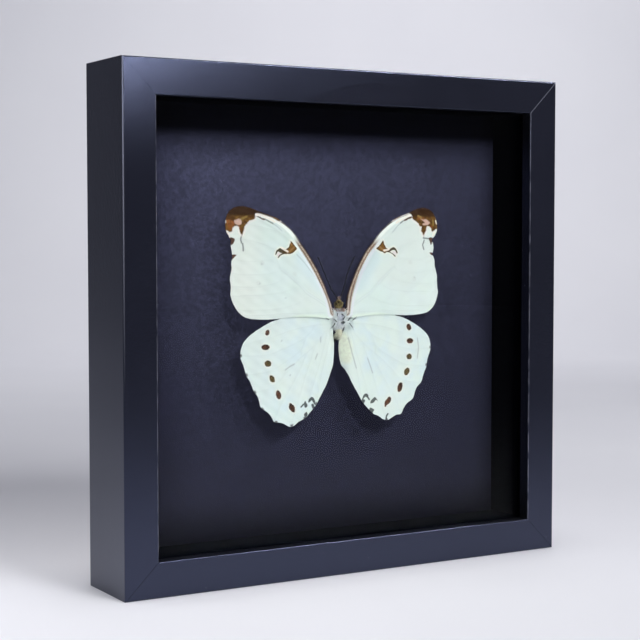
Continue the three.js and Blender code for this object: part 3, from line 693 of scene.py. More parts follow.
forewingMarks = {
    -1: {
        "apex": [(29.2, 154.6), (32.8, 156.2), (35.9, 157.1), (38.3, 157.8), (40.6, 157.9), (40.8, 156.7),
                 (41.2, 155.5), (43.8, 154.7), (44.7, 153.6), (45.8, 152.6), (46.3, 150.9), (46.8, 149.6),
                 (47.3, 148.6), (48.1, 149.6), (48.5, 151.3), (48.7, 152.1), (50.1, 152.5), (51.2, 152.1),
                 (51.8, 151.2), (51.9, 150.2), (52.9, 149.9), (54.1, 150.5), (57, 151), (58, 157),
                 (54, 163), (46, 165), (36, 162), (29, 157)],
        "pale": [[(50.7, 154.9), (49.8, 155.2), (48.7, 155.6), (47.8, 155.3), (47.3, 154.1), (47.7, 153.2),
                  (49.1, 152.9), (50.2, 153.3), (50.8, 154.2)]],
        "between": [(30.5, 141), (30.9, 139.9), (30.6, 139.3), (29.3, 140.4), (27.8, 140.8), (29, 140.9)],
        "gold": [[(44.9, 156.5), (46.3, 155.9), (47.7, 155.3)]],
        "rust": [[(54.2, 154.8), (52.6, 155.1), (50.8, 154.1), (50.5, 152.9), (51.6, 151.9), (52.2, 150.3),
                  (53.3, 151), (54.1, 153)], [(49.6, 152.4), (48, 152.3), (47.6, 150.6), (48.3, 151.2)]],
        "white": [[(54.9, 154.7), (54.9, 154.1)], [(54, 150), (53.2, 147.6)],
                  [(28.8, 143.1), (27.7, 142.5), (26.8, 142), (25.7, 141.4)],
                  [(40.4, 157.3), (38.4, 157.3), (36.2, 156.4), (33.8, 155.4), (31.7, 154.2)]],
        "tan": [[(24.9, 141.3), (23.5, 142.4), (22.1, 143.5)], [(24.5, 145.1), (23.5, 144.2)]],
        "bar": [[(24.3, 146.1), (23.5, 145.6), (22.6, 144.7), (21.7, 143.7), (20.8, 142.6), (21.8, 141.8),
                 (22.7, 141.1), (23.7, 140.6), (24.9, 140.3), (26.3, 140.6), (27, 141), (27.3, 141.6),
                 (26.8, 142.1), (26.4, 142.5), (25.5, 143.1), (24.9, 143.7), (24.7, 144.6), (24.2, 145.1)],
                [(26.3, 142.1), (27.2, 142.5), (28.3, 142.7), (29.3, 143), (30.3, 142.5), (31.2, 141.9),
                 (31.6, 141.1), (31.8, 139.8), (31.3, 140.2), (30.8, 141.2), (30.4, 141.4), (29.3, 140.9),
                 (28, 140.8), (26.5, 141)],
                [(26.1, 140.9), (27.3, 140.9), (28.3, 140.7), (29.2, 140.3), (30, 139.8), (30.7, 138.8),
                 (30.3, 138.6), (29.4, 139.5), (28.7, 139.9), (27.6, 140.3), (26.1, 140.4)]],
        "dark": [[(40.4, 156.7), (39.2, 156.7), (37.7, 156), (35.9, 155.4), (37, 155), (37.9, 155.4),
                  (38.9, 156)],
                 [(53.3, 147.5), (51.2, 147.2), (50.8, 146.7), (51.3, 145.4), (52.2, 144.4), (53.3, 144.7)],
                 [(52.4, 140.1), (50.2, 140), (51.2, 139.1), (52.8, 137.7)]],
        "grey": [[(47.4, 148.6), (48, 146.9), (47.7, 145.2)], [(47.2, 144.9), (47, 143.1), (47, 141.9)],
                 [(35.9, 155.4), (34.4, 154.5), (32.6, 153.6)]],
        "faint": [[(32.6, 153.6), (30.8, 152.5), (28.4, 150.4)],
                  [(21.1, 140.1), (17.7, 136.8), (10.9, 129.2)], [(38.2, 136.3), (38.6, 135.9)],
                  [(39.5, 127.9), (39.9, 127.5)], [(27.2, 121.3), (27.7, 121.1)]],
        "rings": [(38.2, 136.5), (40.4, 127.9), (22.6, 131.6)],
    },
    1: {
        "apex": [(29.2, 155.5), (32.5, 156.4), (34.7, 157.4), (37.6, 158.3), (39.3, 158.4), (40.6, 157.2),
                 (40.6, 156.1), (42.2, 155.1), (44, 153.7), (44.8, 152.6), (45.8, 152.3), (45.4, 150.5),
                 (46.2, 149.7), (46.6, 148.4), (47.6, 149.5), (48.4, 150.7), (48.7, 152.3), (49.3, 152.7),
                 (50.4, 152.5), (51.4, 151.6), (51.7, 150.2), (53.2, 150.7), (54.4, 151.4), (57, 151),
                 (58, 157), (54, 163), (46, 165), (36, 162), (29, 158)],
        "pale": [[(45.3, 156), (47.1, 155.6), (48.4, 155.8), (50.1, 154.9), (50.8, 154.2), (49.3, 153.2),
                  (47.9, 153.1), (46.5, 153.2), (46.3, 153.7), (47.8, 154.2), (46.7, 155.1)]],
        "between": [(28.2, 140.9), (29.2, 141.2), (30.3, 141.1), (31, 140.2), (30.6, 139.4), (29.6, 140.2)],
        "gold": [[(52.6, 155.3), (52.7, 154), (52.6, 153.1)], [(44, 157.2), (45.6, 156.6)]],
        "rust": [[(43.6, 157), (46.5, 156.6), (47.5, 156), (45, 155.4), (43.8, 155.8)],
                 [(51.8, 153.2), (52.6, 152.6), (52, 151.6), (50.9, 152.2)]],
        "white": [[(54.3, 155.1), (54.7, 153.8)], [(53.3, 149.9), (52.2, 148.2)],
                  [(26.9, 142.2), (25.7, 141.8), (24.2, 141.6)],
                  [(39.6, 157.4), (37.8, 157.1), (35.8, 156.1), (33.6, 155.2), (31.4, 154)]],
        "tan": [[(24.6, 141.2), (23.3, 142.3), (22, 143.3)]],
        "bar": [[(23.9, 146.1), (22.7, 144.8), (21.5, 143.5), (20.3, 142.5), (21.3, 141.8), (22.3, 141.2),
                 (23.5, 140.9), (24.5, 140.3), (25.5, 140.8), (26.5, 141.1), (26.5, 141.9), (26.3, 142.3),
                 (25.5, 142.7), (24.9, 143.7), (24.4, 144.5), (24.2, 145.5)],
                [(25.9, 141.1), (26.5, 141.6), (27.1, 142.2), (28.4, 142.8), (29.5, 143.1), (30.6, 142.5),
                 (31.2, 141.6), (31.6, 140.6), (31.3, 140.1), (30.7, 140.8), (30.2, 141.6), (29.3, 141.8),
                 (28.2, 141.5), (27.2, 141.1)],
                [(25.6, 141.2), (27, 141.1), (28.4, 140.5), (29.6, 139.8), (30.6, 138.8), (29.9, 138.8),
                 (29, 139.6), (27.9, 140.3), (26.5, 140.8), (25.5, 140.9)]],
        "dark": [[(35.4, 155.1), (37.5, 156.3), (39.2, 156.9), (40.3, 157.2), (40.1, 156.3), (38.3, 155.8),
                  (37, 155.1)],
                 [(49.8, 147.1), (50.9, 147.5), (52.3, 147.1), (51.9, 145.8), (50.9, 143.9), (50.4, 145.5)],
                 [(49.9, 140.5), (51.8, 140.2), (51.9, 139.2), (50.7, 139.5)]],
        "grey": [[(47.1, 148.6), (46.7, 147.2)], [(47, 146.2), (46.6, 145), (46.1, 144.2), (46.3, 143.2)],
                 [(46.3, 143), (46.6, 142)], [(46.6, 147.2), (49.6, 146.9)], [(35.2, 154.9), (33.8, 154)]],
        "faint": [[(33.8, 154), (32, 152.6), (29, 149.8)], [(40.6, 129.6), (40.9, 129.2)]],
        "rings": [(38.6, 136.2), (40.6, 128.4)],
    },
}
hindwingMarks = {
    -1: {
        "dark": [oval(36.3, 106.4, 1.3, 0.95, 119), oval(37.2, 100.1, 2.0, 1.2, 3),
                 oval(36.1, 92.9, 1.65, 1.35, 7), oval(34.1, 86.2, 1.75, 1.1, 58),
                 oval(30.9, 79.1, 2.0, 1.2, 73), [(25.3, 75.1), (23, 73.5), (23.2, 71), (25.6, 72.8)]],
        "cold": [[(17.5, 75.7), (17, 74.8), (16.5, 73.8), (16.8, 73), (17.8, 72.8), (18.1, 73.8),
                  (18.3, 74.4)], [(17, 70.8), (18.3, 69.6), (17.2, 68.7), (16.4, 69.5)]],
        "hooks": [[(15.3, 75.9), (14.8, 76.4), (14.2, 76.7), (13.6, 76.1), (13.2, 75.3)],
                  [(13.9, 73.7), (13.5, 72.9), (13.2, 72)]],
        "thin": [[(15.7, 75.3), (15.3, 75.9)], [(13.2, 75.3), (12.9, 74.4)], [(18.4, 74.3), (19.7, 73.2)]],
        "cream": [(4.2, 105.7), (2.1, 104.7), (2, 97.6), (4, 99.4)],
        "ticks": [(49.4, 96.8), (46.6, 88.5), (42.6, 80.8), (39, 73.3), (32.2, 67.2), (24.4, 65.6),
                  (17.8, 68.3), (12.3, 74.3)],
        "grey": [[(11.4, 96.2), (12.4, 94)], [(9.6, 103.6), (9.7, 101.4)],
                 [(27.6, 89.8), (25.3, 91.2), (23.1, 92.2)], [(29.1, 102.8), (29.4, 102.5)],
                 [(25, 87.6), (25.3, 87.3)]],
    },
    1: {
        "dark": [oval(37.3, 106.6, 1.6, 1.15, 120), oval(37.9, 100.3, 1.85, 1.2, -4),
                 oval(37.5, 93.1, 1.5, 1.3, -9), oval(36.2, 86.3, 1.85, 1.35, 58),
                 oval(32.4, 79.3, 2.25, 1.35, 74),
                 [(26.4, 75.3), (27.5, 74.6), (27.4, 73.5), (26.6, 72.4), (25.3, 71.6), (24.3, 70.7),
                  (24, 72.1), (24.3, 73.3), (25.4, 74.3)]],
        "cold": [[(16.4, 72.8), (16.5, 73.8), (17.7, 74.9), (18.6, 75.5), (19.3, 75), (20.5, 73.5),
                  (19.8, 74), (19.2, 74.2), (18.5, 73.4), (17.9, 73)],
                 [(16, 70.8), (18.3, 69.7), (16.9, 68.5), (15.8, 69.3)]],
        "hooks": [[(13, 76.1), (13.6, 76.6), (14.2, 76.7), (14.7, 76.1)],
                  [(12.9, 74.1), (12.4, 73.4), (12.3, 72.8)]],
        "thin": [[(12, 74.3), (12.6, 75.6), (13.2, 76.3)], [(14.7, 76.1), (15, 75.6), (15.7, 74.6)],
                 [(24.8, 65.3), (25, 66.5), (25.8, 67.5)]],
        "cream": [(0.1, 104.2), (3.1, 105), (5.2, 102.7), (6.7, 97.2), (5.7, 91.9), (2.5, 92), (0.4, 96.6),
                  (0.6, 100.2)],
        "ticks": [(49.5, 97), (47.3, 88.9), (44.6, 80.5), (40.6, 73.7), (34.1, 67.4), (25, 64.9),
                  (16.9, 68.4), (11.6, 73.6)],
        "grey": [[(14.8, 93.3), (17.5, 86.6)], [(4.9, 102.7), (6.7, 95.9), (8.8, 89.1)],
                 [(42, 101.4), (42.6, 96.8), (42, 92.2)]],
    },
}


edgeRun = (25, 38)  # the leading edge runs this far out and up, from the root to the bend
edgeLength = math.hypot(*edgeRun)


def alongEdge(x, z):  # mm along the leading edge from the root, for points measured from the root
    return (x * edgeRun[0] + z * edgeRun[1]) / edgeLength


def forewingDepth(x, z):  # the same seat as the solid: leans back to the tip, leading edge curled back
    behind = ((x - 2) * edgeRun[1] - (z - 115) * edgeRun[0]) / edgeLength
    fading = 1 - smoothstep(alongEdge(x - 2, z - 115), 0.6 * edgeLength, edgeLength)
    curl = 1.1 * fading * np.exp(-np.maximum(behind, -1) / 2)
    return 13.85 + 0.00054 * x * x + (z - 115) * (0.045 + 0.0005 * x) + curl


def hindwingDepth(x, z):
    fold = 3 * (1 - smoothstep(z, 104, 112)) * np.exp(-(x / 3.6) ** 2)  # down beside the abdomen
    return 14.75 + 0.0002 * x * x + 0.004 * (z - 110) + fold


wingPlans = {
    "forewing": (forewing, forewingMarks, forewingDepth),
    "hindwing": (hindwing, hindwingMarks, hindwingDepth),
}


def shapedOutline(kind, side):
    loop = smoothCurve(wingPlans[kind][0]["outline"], 0.34, True)
    for x, z, reach, out, up in nudges[(kind, side)]:
        pull = np.exp(-((loop[:, 0] - x) ** 2 + (loop[:, 1] - z) ** 2) / reach ** 2)
        loop = loop + pull[:, None] * np.array([[out, up]])
    wander = np.cumsum(np.linalg.norm(np.diff(loop, axis=0, append=loop[:1]), axis=1))
    ahead = np.roll(loop, -1, axis=0) - np.roll(loop, 1, axis=0)
    outward = np.stack([-ahead[:, 1], ahead[:, 0]], 1) / np.linalg.norm(ahead, axis=1)[:, None]
    worn = 0.05 * np.sin(wander * 2.3 + side) * np.sin(wander * 0.71)
    worn = worn + 0.035 * np.sin(wander * 5.7 + 2 * side)
    return loop + outward * worn[:, None]


def makeWing(kind, side, material):
    plan, sideMarks, seatOf = wingPlans[kind]
    marks = sideMarks[side]
    loop = shapedOutline(kind, side)
    gap = wingBuild["spacing"]
    low, high = loop.min(0), loop.max(0)
    grid = []
    for row, z in enumerate(np.arange(low[1], high[1], gap * 0.866)):
        grid += [(x, z) for x in np.arange(low[0] + (row % 2) * gap / 2, high[0], gap)]
    grid = np.array(grid)
    away, inside = awayFrom(grid, loop, True)
    grid = grid[inside & (away > gap * 0.6)]
    flat = np.concatenate([loop, grid])
    rim = [(i, (i + 1) % len(loop)) for i in range(len(loop))]
    verts, _, faces, _, _, _ = delaunay_2d_cdt([Vector(p) for p in flat], rim, [], 1, 1e-7)
    flat = np.array([tuple(v) for v in verts])
    faces = np.array(faces)
    corners = flat[faces]
    turn = np.cross(corners[:, 1] - corners[:, 0], corners[:, 2] - corners[:, 0])
    faces[turn < 0] = faces[turn < 0][:, ::-1]

    x, z = flat[:, 0], flat[:, 1]
    edge, _ = awayFrom(flat, loop, True)
    vein = nearTo(flat, plan["veins"])
    ripple = np.sin(x * 0.41 + z * 0.23 + side) * np.sin(z * 0.33 - x * 0.12)
    ripple = ripple + 0.6 * np.sin(x * 0.9 - z * 0.55 + 2 * side) * np.sin(z * 0.71 + 1)
    pleat = smoothstep(vein, 0, 1.6) - 0.5
    settleIn = smoothstep(x, 4, 14)
    depth = seatOf(x, z) + settleIn * (wingBuild["ripple"] * ripple + wingBuild["pleat"] * pleat)
    fields = {"edge": edge, "vein": vein}
    if kind == "forewing":
        overlap = insideBy(flat, hindwing["outline"], 0.6)
        depth = depth + wingBuild["press"] * smoothstep(overlap, -2.0, 1.5) * smoothstep(x, 5, 12)
        fields["costa"] = nearTo(flat, [plan["outline"][:plan["costa"]]], 0.4)
        fields["travel"] = alongEdge(x - 3, z - 115)
        fields["overlap"] = overlap
        fields["mainVein"] = nearTo(flat, [plan["veins"][6]], 0.4)
        fields["height"] = z
        fields["outer"] = smoothstep(x, 33, 46) * (1.0 if side < 0 else 0.4)
        fields["cell"] = nearTo(flat, [[(18.4, 138.5), (14.8, 134), (10, 127)]])
        fields["apex"] = insideBy(flat, marks["apex"])
        for mark in ("bar", "dark", "rust", "pale"):
            fields[mark] = np.max([insideBy(flat, spot, 0.25) for spot in marks[mark]], axis=0)
        fields["barHeart"] = insideBy(flat, marks["bar"][0], 0.25)
        fields["between"] = insideBy(flat, marks["between"], 0.25)
        for mark in ("gold", "white", "tan", "grey", "faint"):
            fields[mark] = nearTo(flat, marks[mark], 0.3)
        fields["ring"] = np.min([np.abs(np.hypot(x - cx, z - cz) - 0.7) for cx, cz in marks["rings"]], axis=0)
    else:
        spots = [insideBy(flat, spot, 0.25) for spot in marks["dark"]]
        fields["olive"] = np.max(spots[2:4], axis=0)
        cold = [insideBy(flat, spot, 0.25) for spot in marks["cold"]]
        cold += [0.6 - nearTo(flat, marks["hooks"], 0.3), 0.34 - nearTo(flat, marks["thin"], 0.3)]
        fields["cold"] = np.max(cold, axis=0)
        fields["dark"] = np.max(spots, axis=0)
        fields["tick"] = np.min([np.hypot(x - tx, z - tz) for tx, tz in marks["ticks"]], axis=0)
        fields["grey"] = nearTo(flat, marks["grey"], 0.4)
        fields["cream"] = insideBy(flat, marks["cream"])
        fields["strong"] = np.full(len(flat), 0.3 if side < 0 else 1.0)
    for key in fields:
        fields[key] = np.concatenate([fields[key]] * 2)

    count = len(flat)
    front = [place(side * a, d, b) for a, b, d in zip(x, z, depth)]
    thin = np.where(edge < gap, wingBuild["thinEdge"], 1.0) * wingBuild["thickness"]
    back = [place(side * a, d + t, b) for a, b, d, t in zip(x, z, depth, thin)]
    sheet = []
    used = {}
    for a, b, c in faces.tolist():
        sheet.append((a, b, c))
        sheet.append((a + count, c + count, b + count))
        for start, end in ((a, b), (b, c), (c, a)):
            used[(start, end)] = True
    for start, end in used:
        if (end, start) not in used:
            sheet.append((end, start, start + count, end + count))
    if side < 0:
        sheet = [face[::-1] for face in sheet]
    sideName = "left" if side < 0 else "right"
    return makePiece(kind + sideName.capitalize() + "Wing", front + back, sheet, material,
                     ["%s_%s" % (kind, sideName)], fields=fields, sharpAngle=60)


def wingBase(paint, first, second, third):  # pearly scales: soft clouds and fine stipple; the veins are made a shade darker where it is used
    cloud = paint.noise(9, 3, 0.55)
    drift = paint.noise(26, 2)
    stipple = paint.noise(0.28, 2, 0.6)
    colour = paint.mix(paint.fade(cloud, 0.35, 0.65), first, second)
    colour = paint.mix(paint.fade(drift, 0.4, 0.65) * 0.6, colour, third)
    colour = paint.mix(paint.fade(stipple, 0.3, 0.75) * 0.12, colour, tint(236, 242, 238))
    return colour, stipple


def forewingScales():
    paint = Paint("forewingScales")
    colour, stipple = wingBase(paint, tint(213, 226, 219), tint(215, 227, 224), tint(220, 225, 219))
    vein, costa, travel, overlap = (paint.field(name) for name in ("vein", "costa", "travel", "overlap"))
    apex, bar, heart = (paint.field(name) for name in ("apex", "bar", "barHeart"))
    dark, pale, grey, faint = (paint.field(name) for name in ("dark", "pale", "grey", "faint"))
    height, outer, cell, ring = (paint.field(name) for name in ("height", "outer", "cell", "ring"))
    fuzz = (paint.noise(0.6, 3, 0.6) - 0.5) * 0.5
    mottle = paint.noise(1.3, 4, 0.62)
    veinLine = paint.fade(vein, 0.34, 0.06)
    colour = paint.mix(outer * 0.6, colour, tint(229, 230, 222))
    colour = paint.mix(paint.fade(cell, 6, 1.5) * 0.5, colour, tint(202, 218, 225))
    # painted light: the forewing is lighter where it lies over the hindwing, with a painted highlight along
    # its lower edge
    colour = paint.mix(paint.fade(overlap, 0.0, 1.6) * 0.6, colour, tint(232, 244, 226))
    colour = paint.mix(veinLine * 0.13, colour, tint(172, 180, 178))
    # main vein: a white line, with painted shade as grey stripes to each side of it
    mainVein = paint.field("mainVein")
    colour = paint.mix(paint.stripe(mainVein, 0.42, 0.36) * 0.22, colour, tint(150, 166, 172))
    colour = paint.mix(paint.fade(mainVein, 0.24, 0.04) * 0.6, colour, tint(240, 246, 246))
    colour = paint.mix(paint.fade(faint + 0.3 * fuzz, 0.42, 0.1) * 0.42, colour, tint(140, 152, 158))
    colour = paint.mix(paint.fade(ring, 0.5, 0.1) * 0.3, colour, tint(190, 190, 186))
    colour = paint.mix(paint.fade(grey + 0.3 * fuzz, 0.55, 0.15) * 0.85, colour, tint(112, 120, 116))
    # leading edge: tan ribs near the root, then a white band, with a dark rim all along
    nearRoot = paint.fade(travel, 40, 33)
    bandEdge = paint.fade(costa + 0.3 * fuzz, 2.3, 1.9)
    ribs = paint.fade(paint.noise(0.5, 3, 0.6), 0.4, 0.62)
    tanBand = paint.mix(ribs, tint(146, 124, 106), tint(196, 178, 162))
    tanBand = paint.mix(paint.fade(travel, 14, 0) * 0.5, tanBand, tint(214, 202, 194))
    tanBand = paint.mix(paint.stripe(costa + 0.3 * fuzz, 1.5, 0.42) * 0.85, tanBand, tint(92, 66, 54))
    colour = paint.mix(paint.stripe(costa, 2.9, 1.0) * nearRoot * 0.7, colour, tint(228, 226, 234))
    colour = paint.mix(bandEdge * nearRoot, colour, tanBand)
    colour = paint.mix(paint.fade(costa, 2.6, 1.6) * (1 - nearRoot) * 0.85, colour, tint(246, 250, 244))
    brownEdge = paint.fade(costa + 0.3 * fuzz, 0.72, 0.4) * (0.25 + 0.72 * nearRoot)
    colour = paint.mix(brownEdge, colour, tint(50, 28, 18))
    rim = paint.fade(costa + 0.4 * fuzz - 0.35 * paint.fade(travel, 42, 49), 0.55, 0.3)
    colour = paint.mix(rim * (1 - nearRoot) * 0.9, colour, tint(56, 38, 24))
    # tip patch: dark brown crown, golden brown below it
    crown = paint.fade(height + 1.8 * mottle, 157.0, 158.8)
    golden = paint.mix(paint.fade(mottle, 0.4, 0.62), tint(74, 44, 6), tint(108, 76, 26))
    deep = paint.mix(crown, golden, tint(52, 28, 3))
    streaks = paint.fade(paint.noise(0.9, 3, 0.6, stretch=(1.5, 1, 0.4)), 0.42, 0.6)
    rusty = paint.fade(paint.field("rust") + fuzz, -0.5, 0.5) * (0.35 + 0.5 * streaks)
    deep = paint.mix(rusty, deep, tint(138, 78, 38))
    deep = paint.mix(paint.fade(paint.field("gold") + 0.5 * fuzz, 0.8, 0.2) * 0.75, deep, tint(146, 120, 64))
    colour = paint.mix(paint.fade(apex + 1.2 * fuzz, -1.3, -0.3) * 0.6, colour, tint(240, 231, 224))
    colour = paint.mix(paint.fade(apex + 1.6 * fuzz, -0.35, 0.3), colour, deep)
    # cell bar, its pale notch and the small marks
    halo = paint.fade(bar + 0.5 * fuzz, -1.1, -0.2)
    colour = paint.mix(halo * 0.5, colour, tint(240, 236, 218))
    barColour = paint.mix(paint.fade(heart + 0.4 * fuzz, 0.1, 0.75), tint(58, 38, 10), tint(118, 80, 30))
    barColour = paint.mix(paint.fade(mottle, 0.45, 0.7) * 0.5, barColour, tint(94, 72, 16))
    barColour = paint.mix(paint.fade(paint.field("tan"), 0.6, 0.15) * 0.8, barColour, tint(152, 112, 70))
    barColour = paint.mix(paint.fade(heart, -0.3, -1.6) * 0.8, barColour, tint(78, 72, 54))
    notch = paint.fade(paint.field("between") + fuzz, -0.4, 0.2)
    colour = paint.mix(notch * 0.7, colour, tint(222, 206, 206))
    colour = paint.mix(paint.fade(bar + 0.5 * fuzz, -0.14, 0.14), colour, barColour)
    smudge = paint.mix(mottle, tint(58, 34, 26), tint(104, 74, 56))
    colour = paint.mix(paint.fade(dark + 0.8 * fuzz, -0.25, 0.2), colour, smudge)
    pink = paint.mix(mottle, tint(198, 160, 140), tint(216, 186, 178))
    colour = paint.mix(paint.fade(pale + 0.7 * fuzz, -0.35, 0.35) * 0.92, colour, pink)
    fleck = paint.fade(paint.field("white") + 0.2 * fuzz, 0.62, 0.25)
    colour = paint.mix(fleck * 0.85, colour, tint(244, 234, 222))
    relief = 0.4 * veinLine + 0.2 * stipple + 0.15 * bandEdge * nearRoot  # raised veins and ribs
    return paint.finish({"Base Color": colour, "Roughness": 0.6 + 0.15 * stipple, "Specular IOR Level": 0.14},
                        height=relief, depth=0.08, strength=0.6)


def hindwingScales():
    paint = Paint("hindwingScales")
    colour, stipple = wingBase(paint, tint(218, 229, 222), tint(210, 224, 227), tint(220, 227, 221))
    vein, edge, dark, olive = (paint.field(name) for name in ("vein", "edge", "dark", "olive"))
    tick, grey, cream, cold = (paint.field(name) for name in ("tick", "grey", "cream", "cold"))
    fuzz = (paint.noise(0.6, 3, 0.6) - 0.5) * 0.5
    mottle = paint.noise(1.3, 4, 0.62)
    veinLine = paint.fade(vein, 0.34, 0.06)
    creamy = paint.fade(cream + fuzz * 2, -1.6, 1.2) * paint.field("strong")
    butter = paint.mix(paint.fade(mottle, 0.35, 0.65), tint(218, 220, 200), tint(234, 240, 216))
    colour = paint.mix(creamy * 0.8, colour, butter)
    colour = paint.mix(veinLine * 0.14, colour, tint(172, 180, 180))
    colour = paint.mix(paint.fade(grey + 0.5 * fuzz, 0.5, 0.1) * 0.42, colour, tint(130, 136, 138))
    speckle = paint.noise(0.9, 4, 0.65)
    spot = paint.mix(paint.fade(speckle, 0.38, 0.62), tint(42, 32, 28), tint(98, 62, 44))
    spot = paint.mix(paint.fade(olive, -0.3, 0.1) * 0.4, spot, tint(98, 94, 54))
    spot = paint.mix(paint.fade(dark, 0.45, 0.05) * 0.5, spot, tint(42, 44, 40))
    halo = paint.fade(dark + 0.4 * fuzz, -1.0, -0.2)
    colour = paint.mix(halo * 0.45, colour, tint(236, 232, 218))
    colour = paint.mix(paint.fade(dark + 1.5 * fuzz, -0.24, 0.16), colour, spot)
    slate = paint.mix(mottle, tint(22, 28, 28), tint(62, 70, 68))
    colour = paint.mix(paint.fade(cold + 0.5 * fuzz, -0.2, 0.12) * 0.92, colour, slate)
    ticked = paint.fade(tick + 0.6 * fuzz, 1.1, 0.5) * paint.fade(edge, 1.3, 0.5)
    colour = paint.mix(ticked * 0.9, colour, tint(66, 66, 68))
    relief = 0.4 * veinLine + 0.2 * stipple
    return paint.finish({"Base Color": colour, "Roughness": 0.6 + 0.15 * stipple, "Specular IOR Level": 0.14},
                        height=relief, depth=0.08, strength=0.6)


foreScales = forewingScales()
hindScales = hindwingScales()
for side in (-1, 1):
    makeWing("forewing", side, foreScales)
    makeWing("hindwing", side, hindScales)
print("wings made")

# the body's horn, which the hair covers: x, depth and height in mm
body = {
    "thorax": {"centre": (0.15, 16.3, 111.3), "radii": (2.75, 3.1, 4.5)},
    "skull": {"centre": (-0.1, 15.2, 118.0), "radii": (1.15, 1.5, 1.3)},
    "eye": {"offset": (0.95, 0.4, 0.1), "radii": (0.75, 1.1, 1.05)},
    "palp": [(0.4, 16.1, 119.1, 0.45), (0.5, 15.4, 120.4, 0.45), (0.4, 14.9, 121.1, 0.32),
             (0.35, 14.6, 121.5, 0.14)],
    "abdomen": [(0.3, 16.6, 107.2, 0.9), (0.25, 15.5, 105.6, 1.3), (0.2, 15.9, 104.3, 1.4),
                (0.2, 18.1, 103.2, 1.5), (0.2, 20.3, 101.9, 1.5), (0.1, 22.4, 100.1, 1.4),
                (0, 23.9, 97.4, 1.1), (0, 24.9, 94.6, 0.4)],
}
pin = {"x": 0.6, "z": 110.0, "radius": 0.25, "front": 12.9, "tip": 31.3, "taper": 2}


def horn(name, first, second, roughness):
    paint = Paint(name)
    grain = paint.noise(0.35, 3, 0.6)
    blotch = paint.noise(1.6, 3)
    return paint.finish({
        "Base Color": paint.mix(blotch, first, second), "Roughness": roughness + 0.15 * grain},
        height=grain, depth=0.05, strength=0.5)


def hairPaint(name, rootColour, firstTip, secondTip):
    paint = Paint(name)
    shade, reach = paint.field("shade"), paint.field("reach")
    colour = paint.mix(paint.fade(reach, 0.0, 0.6), rootColour, paint.mix(shade, firstTip, secondTip))
    return paint.finish({"Base Color": colour, "Roughness": 0.55 + 0.1 * shade, "Specular IOR Level": 0.4})


def ellipsoid(name, centre, radii, material, nodes=(), dents=0.04, rings=22, turns=32):
    points = []
    for i in range(1, rings):
        polar = math.pi * i / rings
        for around in np.linspace(0, 2 * math.pi, turns, endpoint=False):
            unit = (math.sin(polar) * math.cos(around), math.sin(polar) * math.sin(around), math.cos(polar))
            x, y, z = unit
            lump = 1 + dents * (math.sin(5 * x + 3 * z) * math.sin(4 * y + 2 * z) + 0.5 * math.sin(9 * z))
            points.append(place(*[c + r * u * lump for c, r, u in zip(centre, radii, unit)]))
    points += [place(centre[0], centre[1], centre[2] + end * radii[2]) for end in (1, -1)]
    top, bottom, last = len(points) - 2, len(points) - 1, (rings - 2) * turns
    faces = bands(rings - 1, turns, flip=True) + cone(0, turns, top) + cone(last, turns, bottom, flip=True)
    return makePiece(name, points, faces, material, nodes)


thoraxHorn = horn("thoraxHorn", tint(172, 176, 192), tint(206, 208, 216), 0.5)
headHorn = horn("headHorn", tint(36, 28, 14), tint(66, 52, 26), 0.5)
eyeHorn = horn("eyeHorn", tint(22, 16, 12), tint(44, 30, 20), 0.25)
darkHorn = horn("darkHorn", tint(12, 10, 13), tint(22, 18, 22), 0.5)
antennaHorn = horn("antennaHorn", tint(5, 5, 12), tint(12, 12, 24), 0.6)
palpHorn = horn("palpHorn", tint(116, 92, 92), tint(160, 138, 136), 0.55)
thorax, skull, eye = body["thorax"], body["skull"], body["eye"]
ellipsoid("thoraxBody", thorax["centre"], thorax["radii"], thoraxHorn, ["thorax"], rings=30, turns=40)
ellipsoid("headSkull", skull["centre"], skull["radii"], headHorn, ["head"], dents=0.03)
for side, sign in (("Left", -1), ("Right", 1)):
    out, deeper, up = eye["offset"]
    centre = (skull["centre"][0] + sign * out, skull["centre"][1] + deeper, skull["centre"][2] + up)
    ellipsoid("eye" + side, centre, eye["radii"], eyeHorn, dents=0.0)
    tube("palp" + side, [(sign * x, depth, z, radius) for x, depth, z, radius in body["palp"]], 10, palpHorn,
         step=0.25)


def bellyHorn():  # cream above, with painted shade below: dark olive where it turns under between the wings
    paint = Paint("bellyHorn")
    grain = paint.noise(0.35, 3, 0.6)
    colour = paint.mix(paint.noise(1.6, 3), tint(196, 192, 166), tint(220, 218, 196))
    colour = paint.mix(paint.fade(paint.along("Z") + 0.6 * grain, 103.9, 102.9), colour, tint(26, 27, 12))
    return paint.finish({"Base Color": colour, "Roughness": 0.6 + 0.15 * grain},
                        height=grain, depth=0.05, strength=0.5)


tube("abdomenBody", body["abdomen"], 24, bellyHorn(), ["abdomen"], step=0.2, rings=(1.15, 0.14))

antennae = {
    "Left": [(-0.75, 15, 120.2, 0.24), (-3.9, 15.6, 125.2, 0.23), (-6.6, 16.3, 131.5, 0.23),
             (-8.4, 16.8, 136, 0.26), (-8.9, 17, 137.2, 0.23), (-9.3, 17.1, 138.3, 0.34),
             (-9.5, 17.2, 139, 0.16)],
    "Right": [(0.75, 15, 120.2, 0.24), (3.3, 15.7, 126.6, 0.23), (6.1, 16.5, 133.4, 0.23),
              (8.2, 17, 136.8, 0.26), (8.7, 17.1, 137.8, 0.23), (9.1, 17.15, 138.4, 0.34),
              (9.4, 17.2, 139, 0.16)],
}
legs = {
    "middle": [(1, 19.7, 112.6, 0.4), (4.6, 20.9, 115.6, 0.42), (5, 22.2, 111, 0.28),
               (3.2, 22.9, 104.6, 0.22), (2.6, 23.4, 100.6, 0.14)],
    "hind": [(0.9, 19.8, 109.6, 0.4), (4.2, 21.6, 107, 0.42), (6.4, 23, 103.6, 0.28),
             (5.2, 23.9, 96.6, 0.22), (4.2, 24.4, 92.4, 0.14)],
}
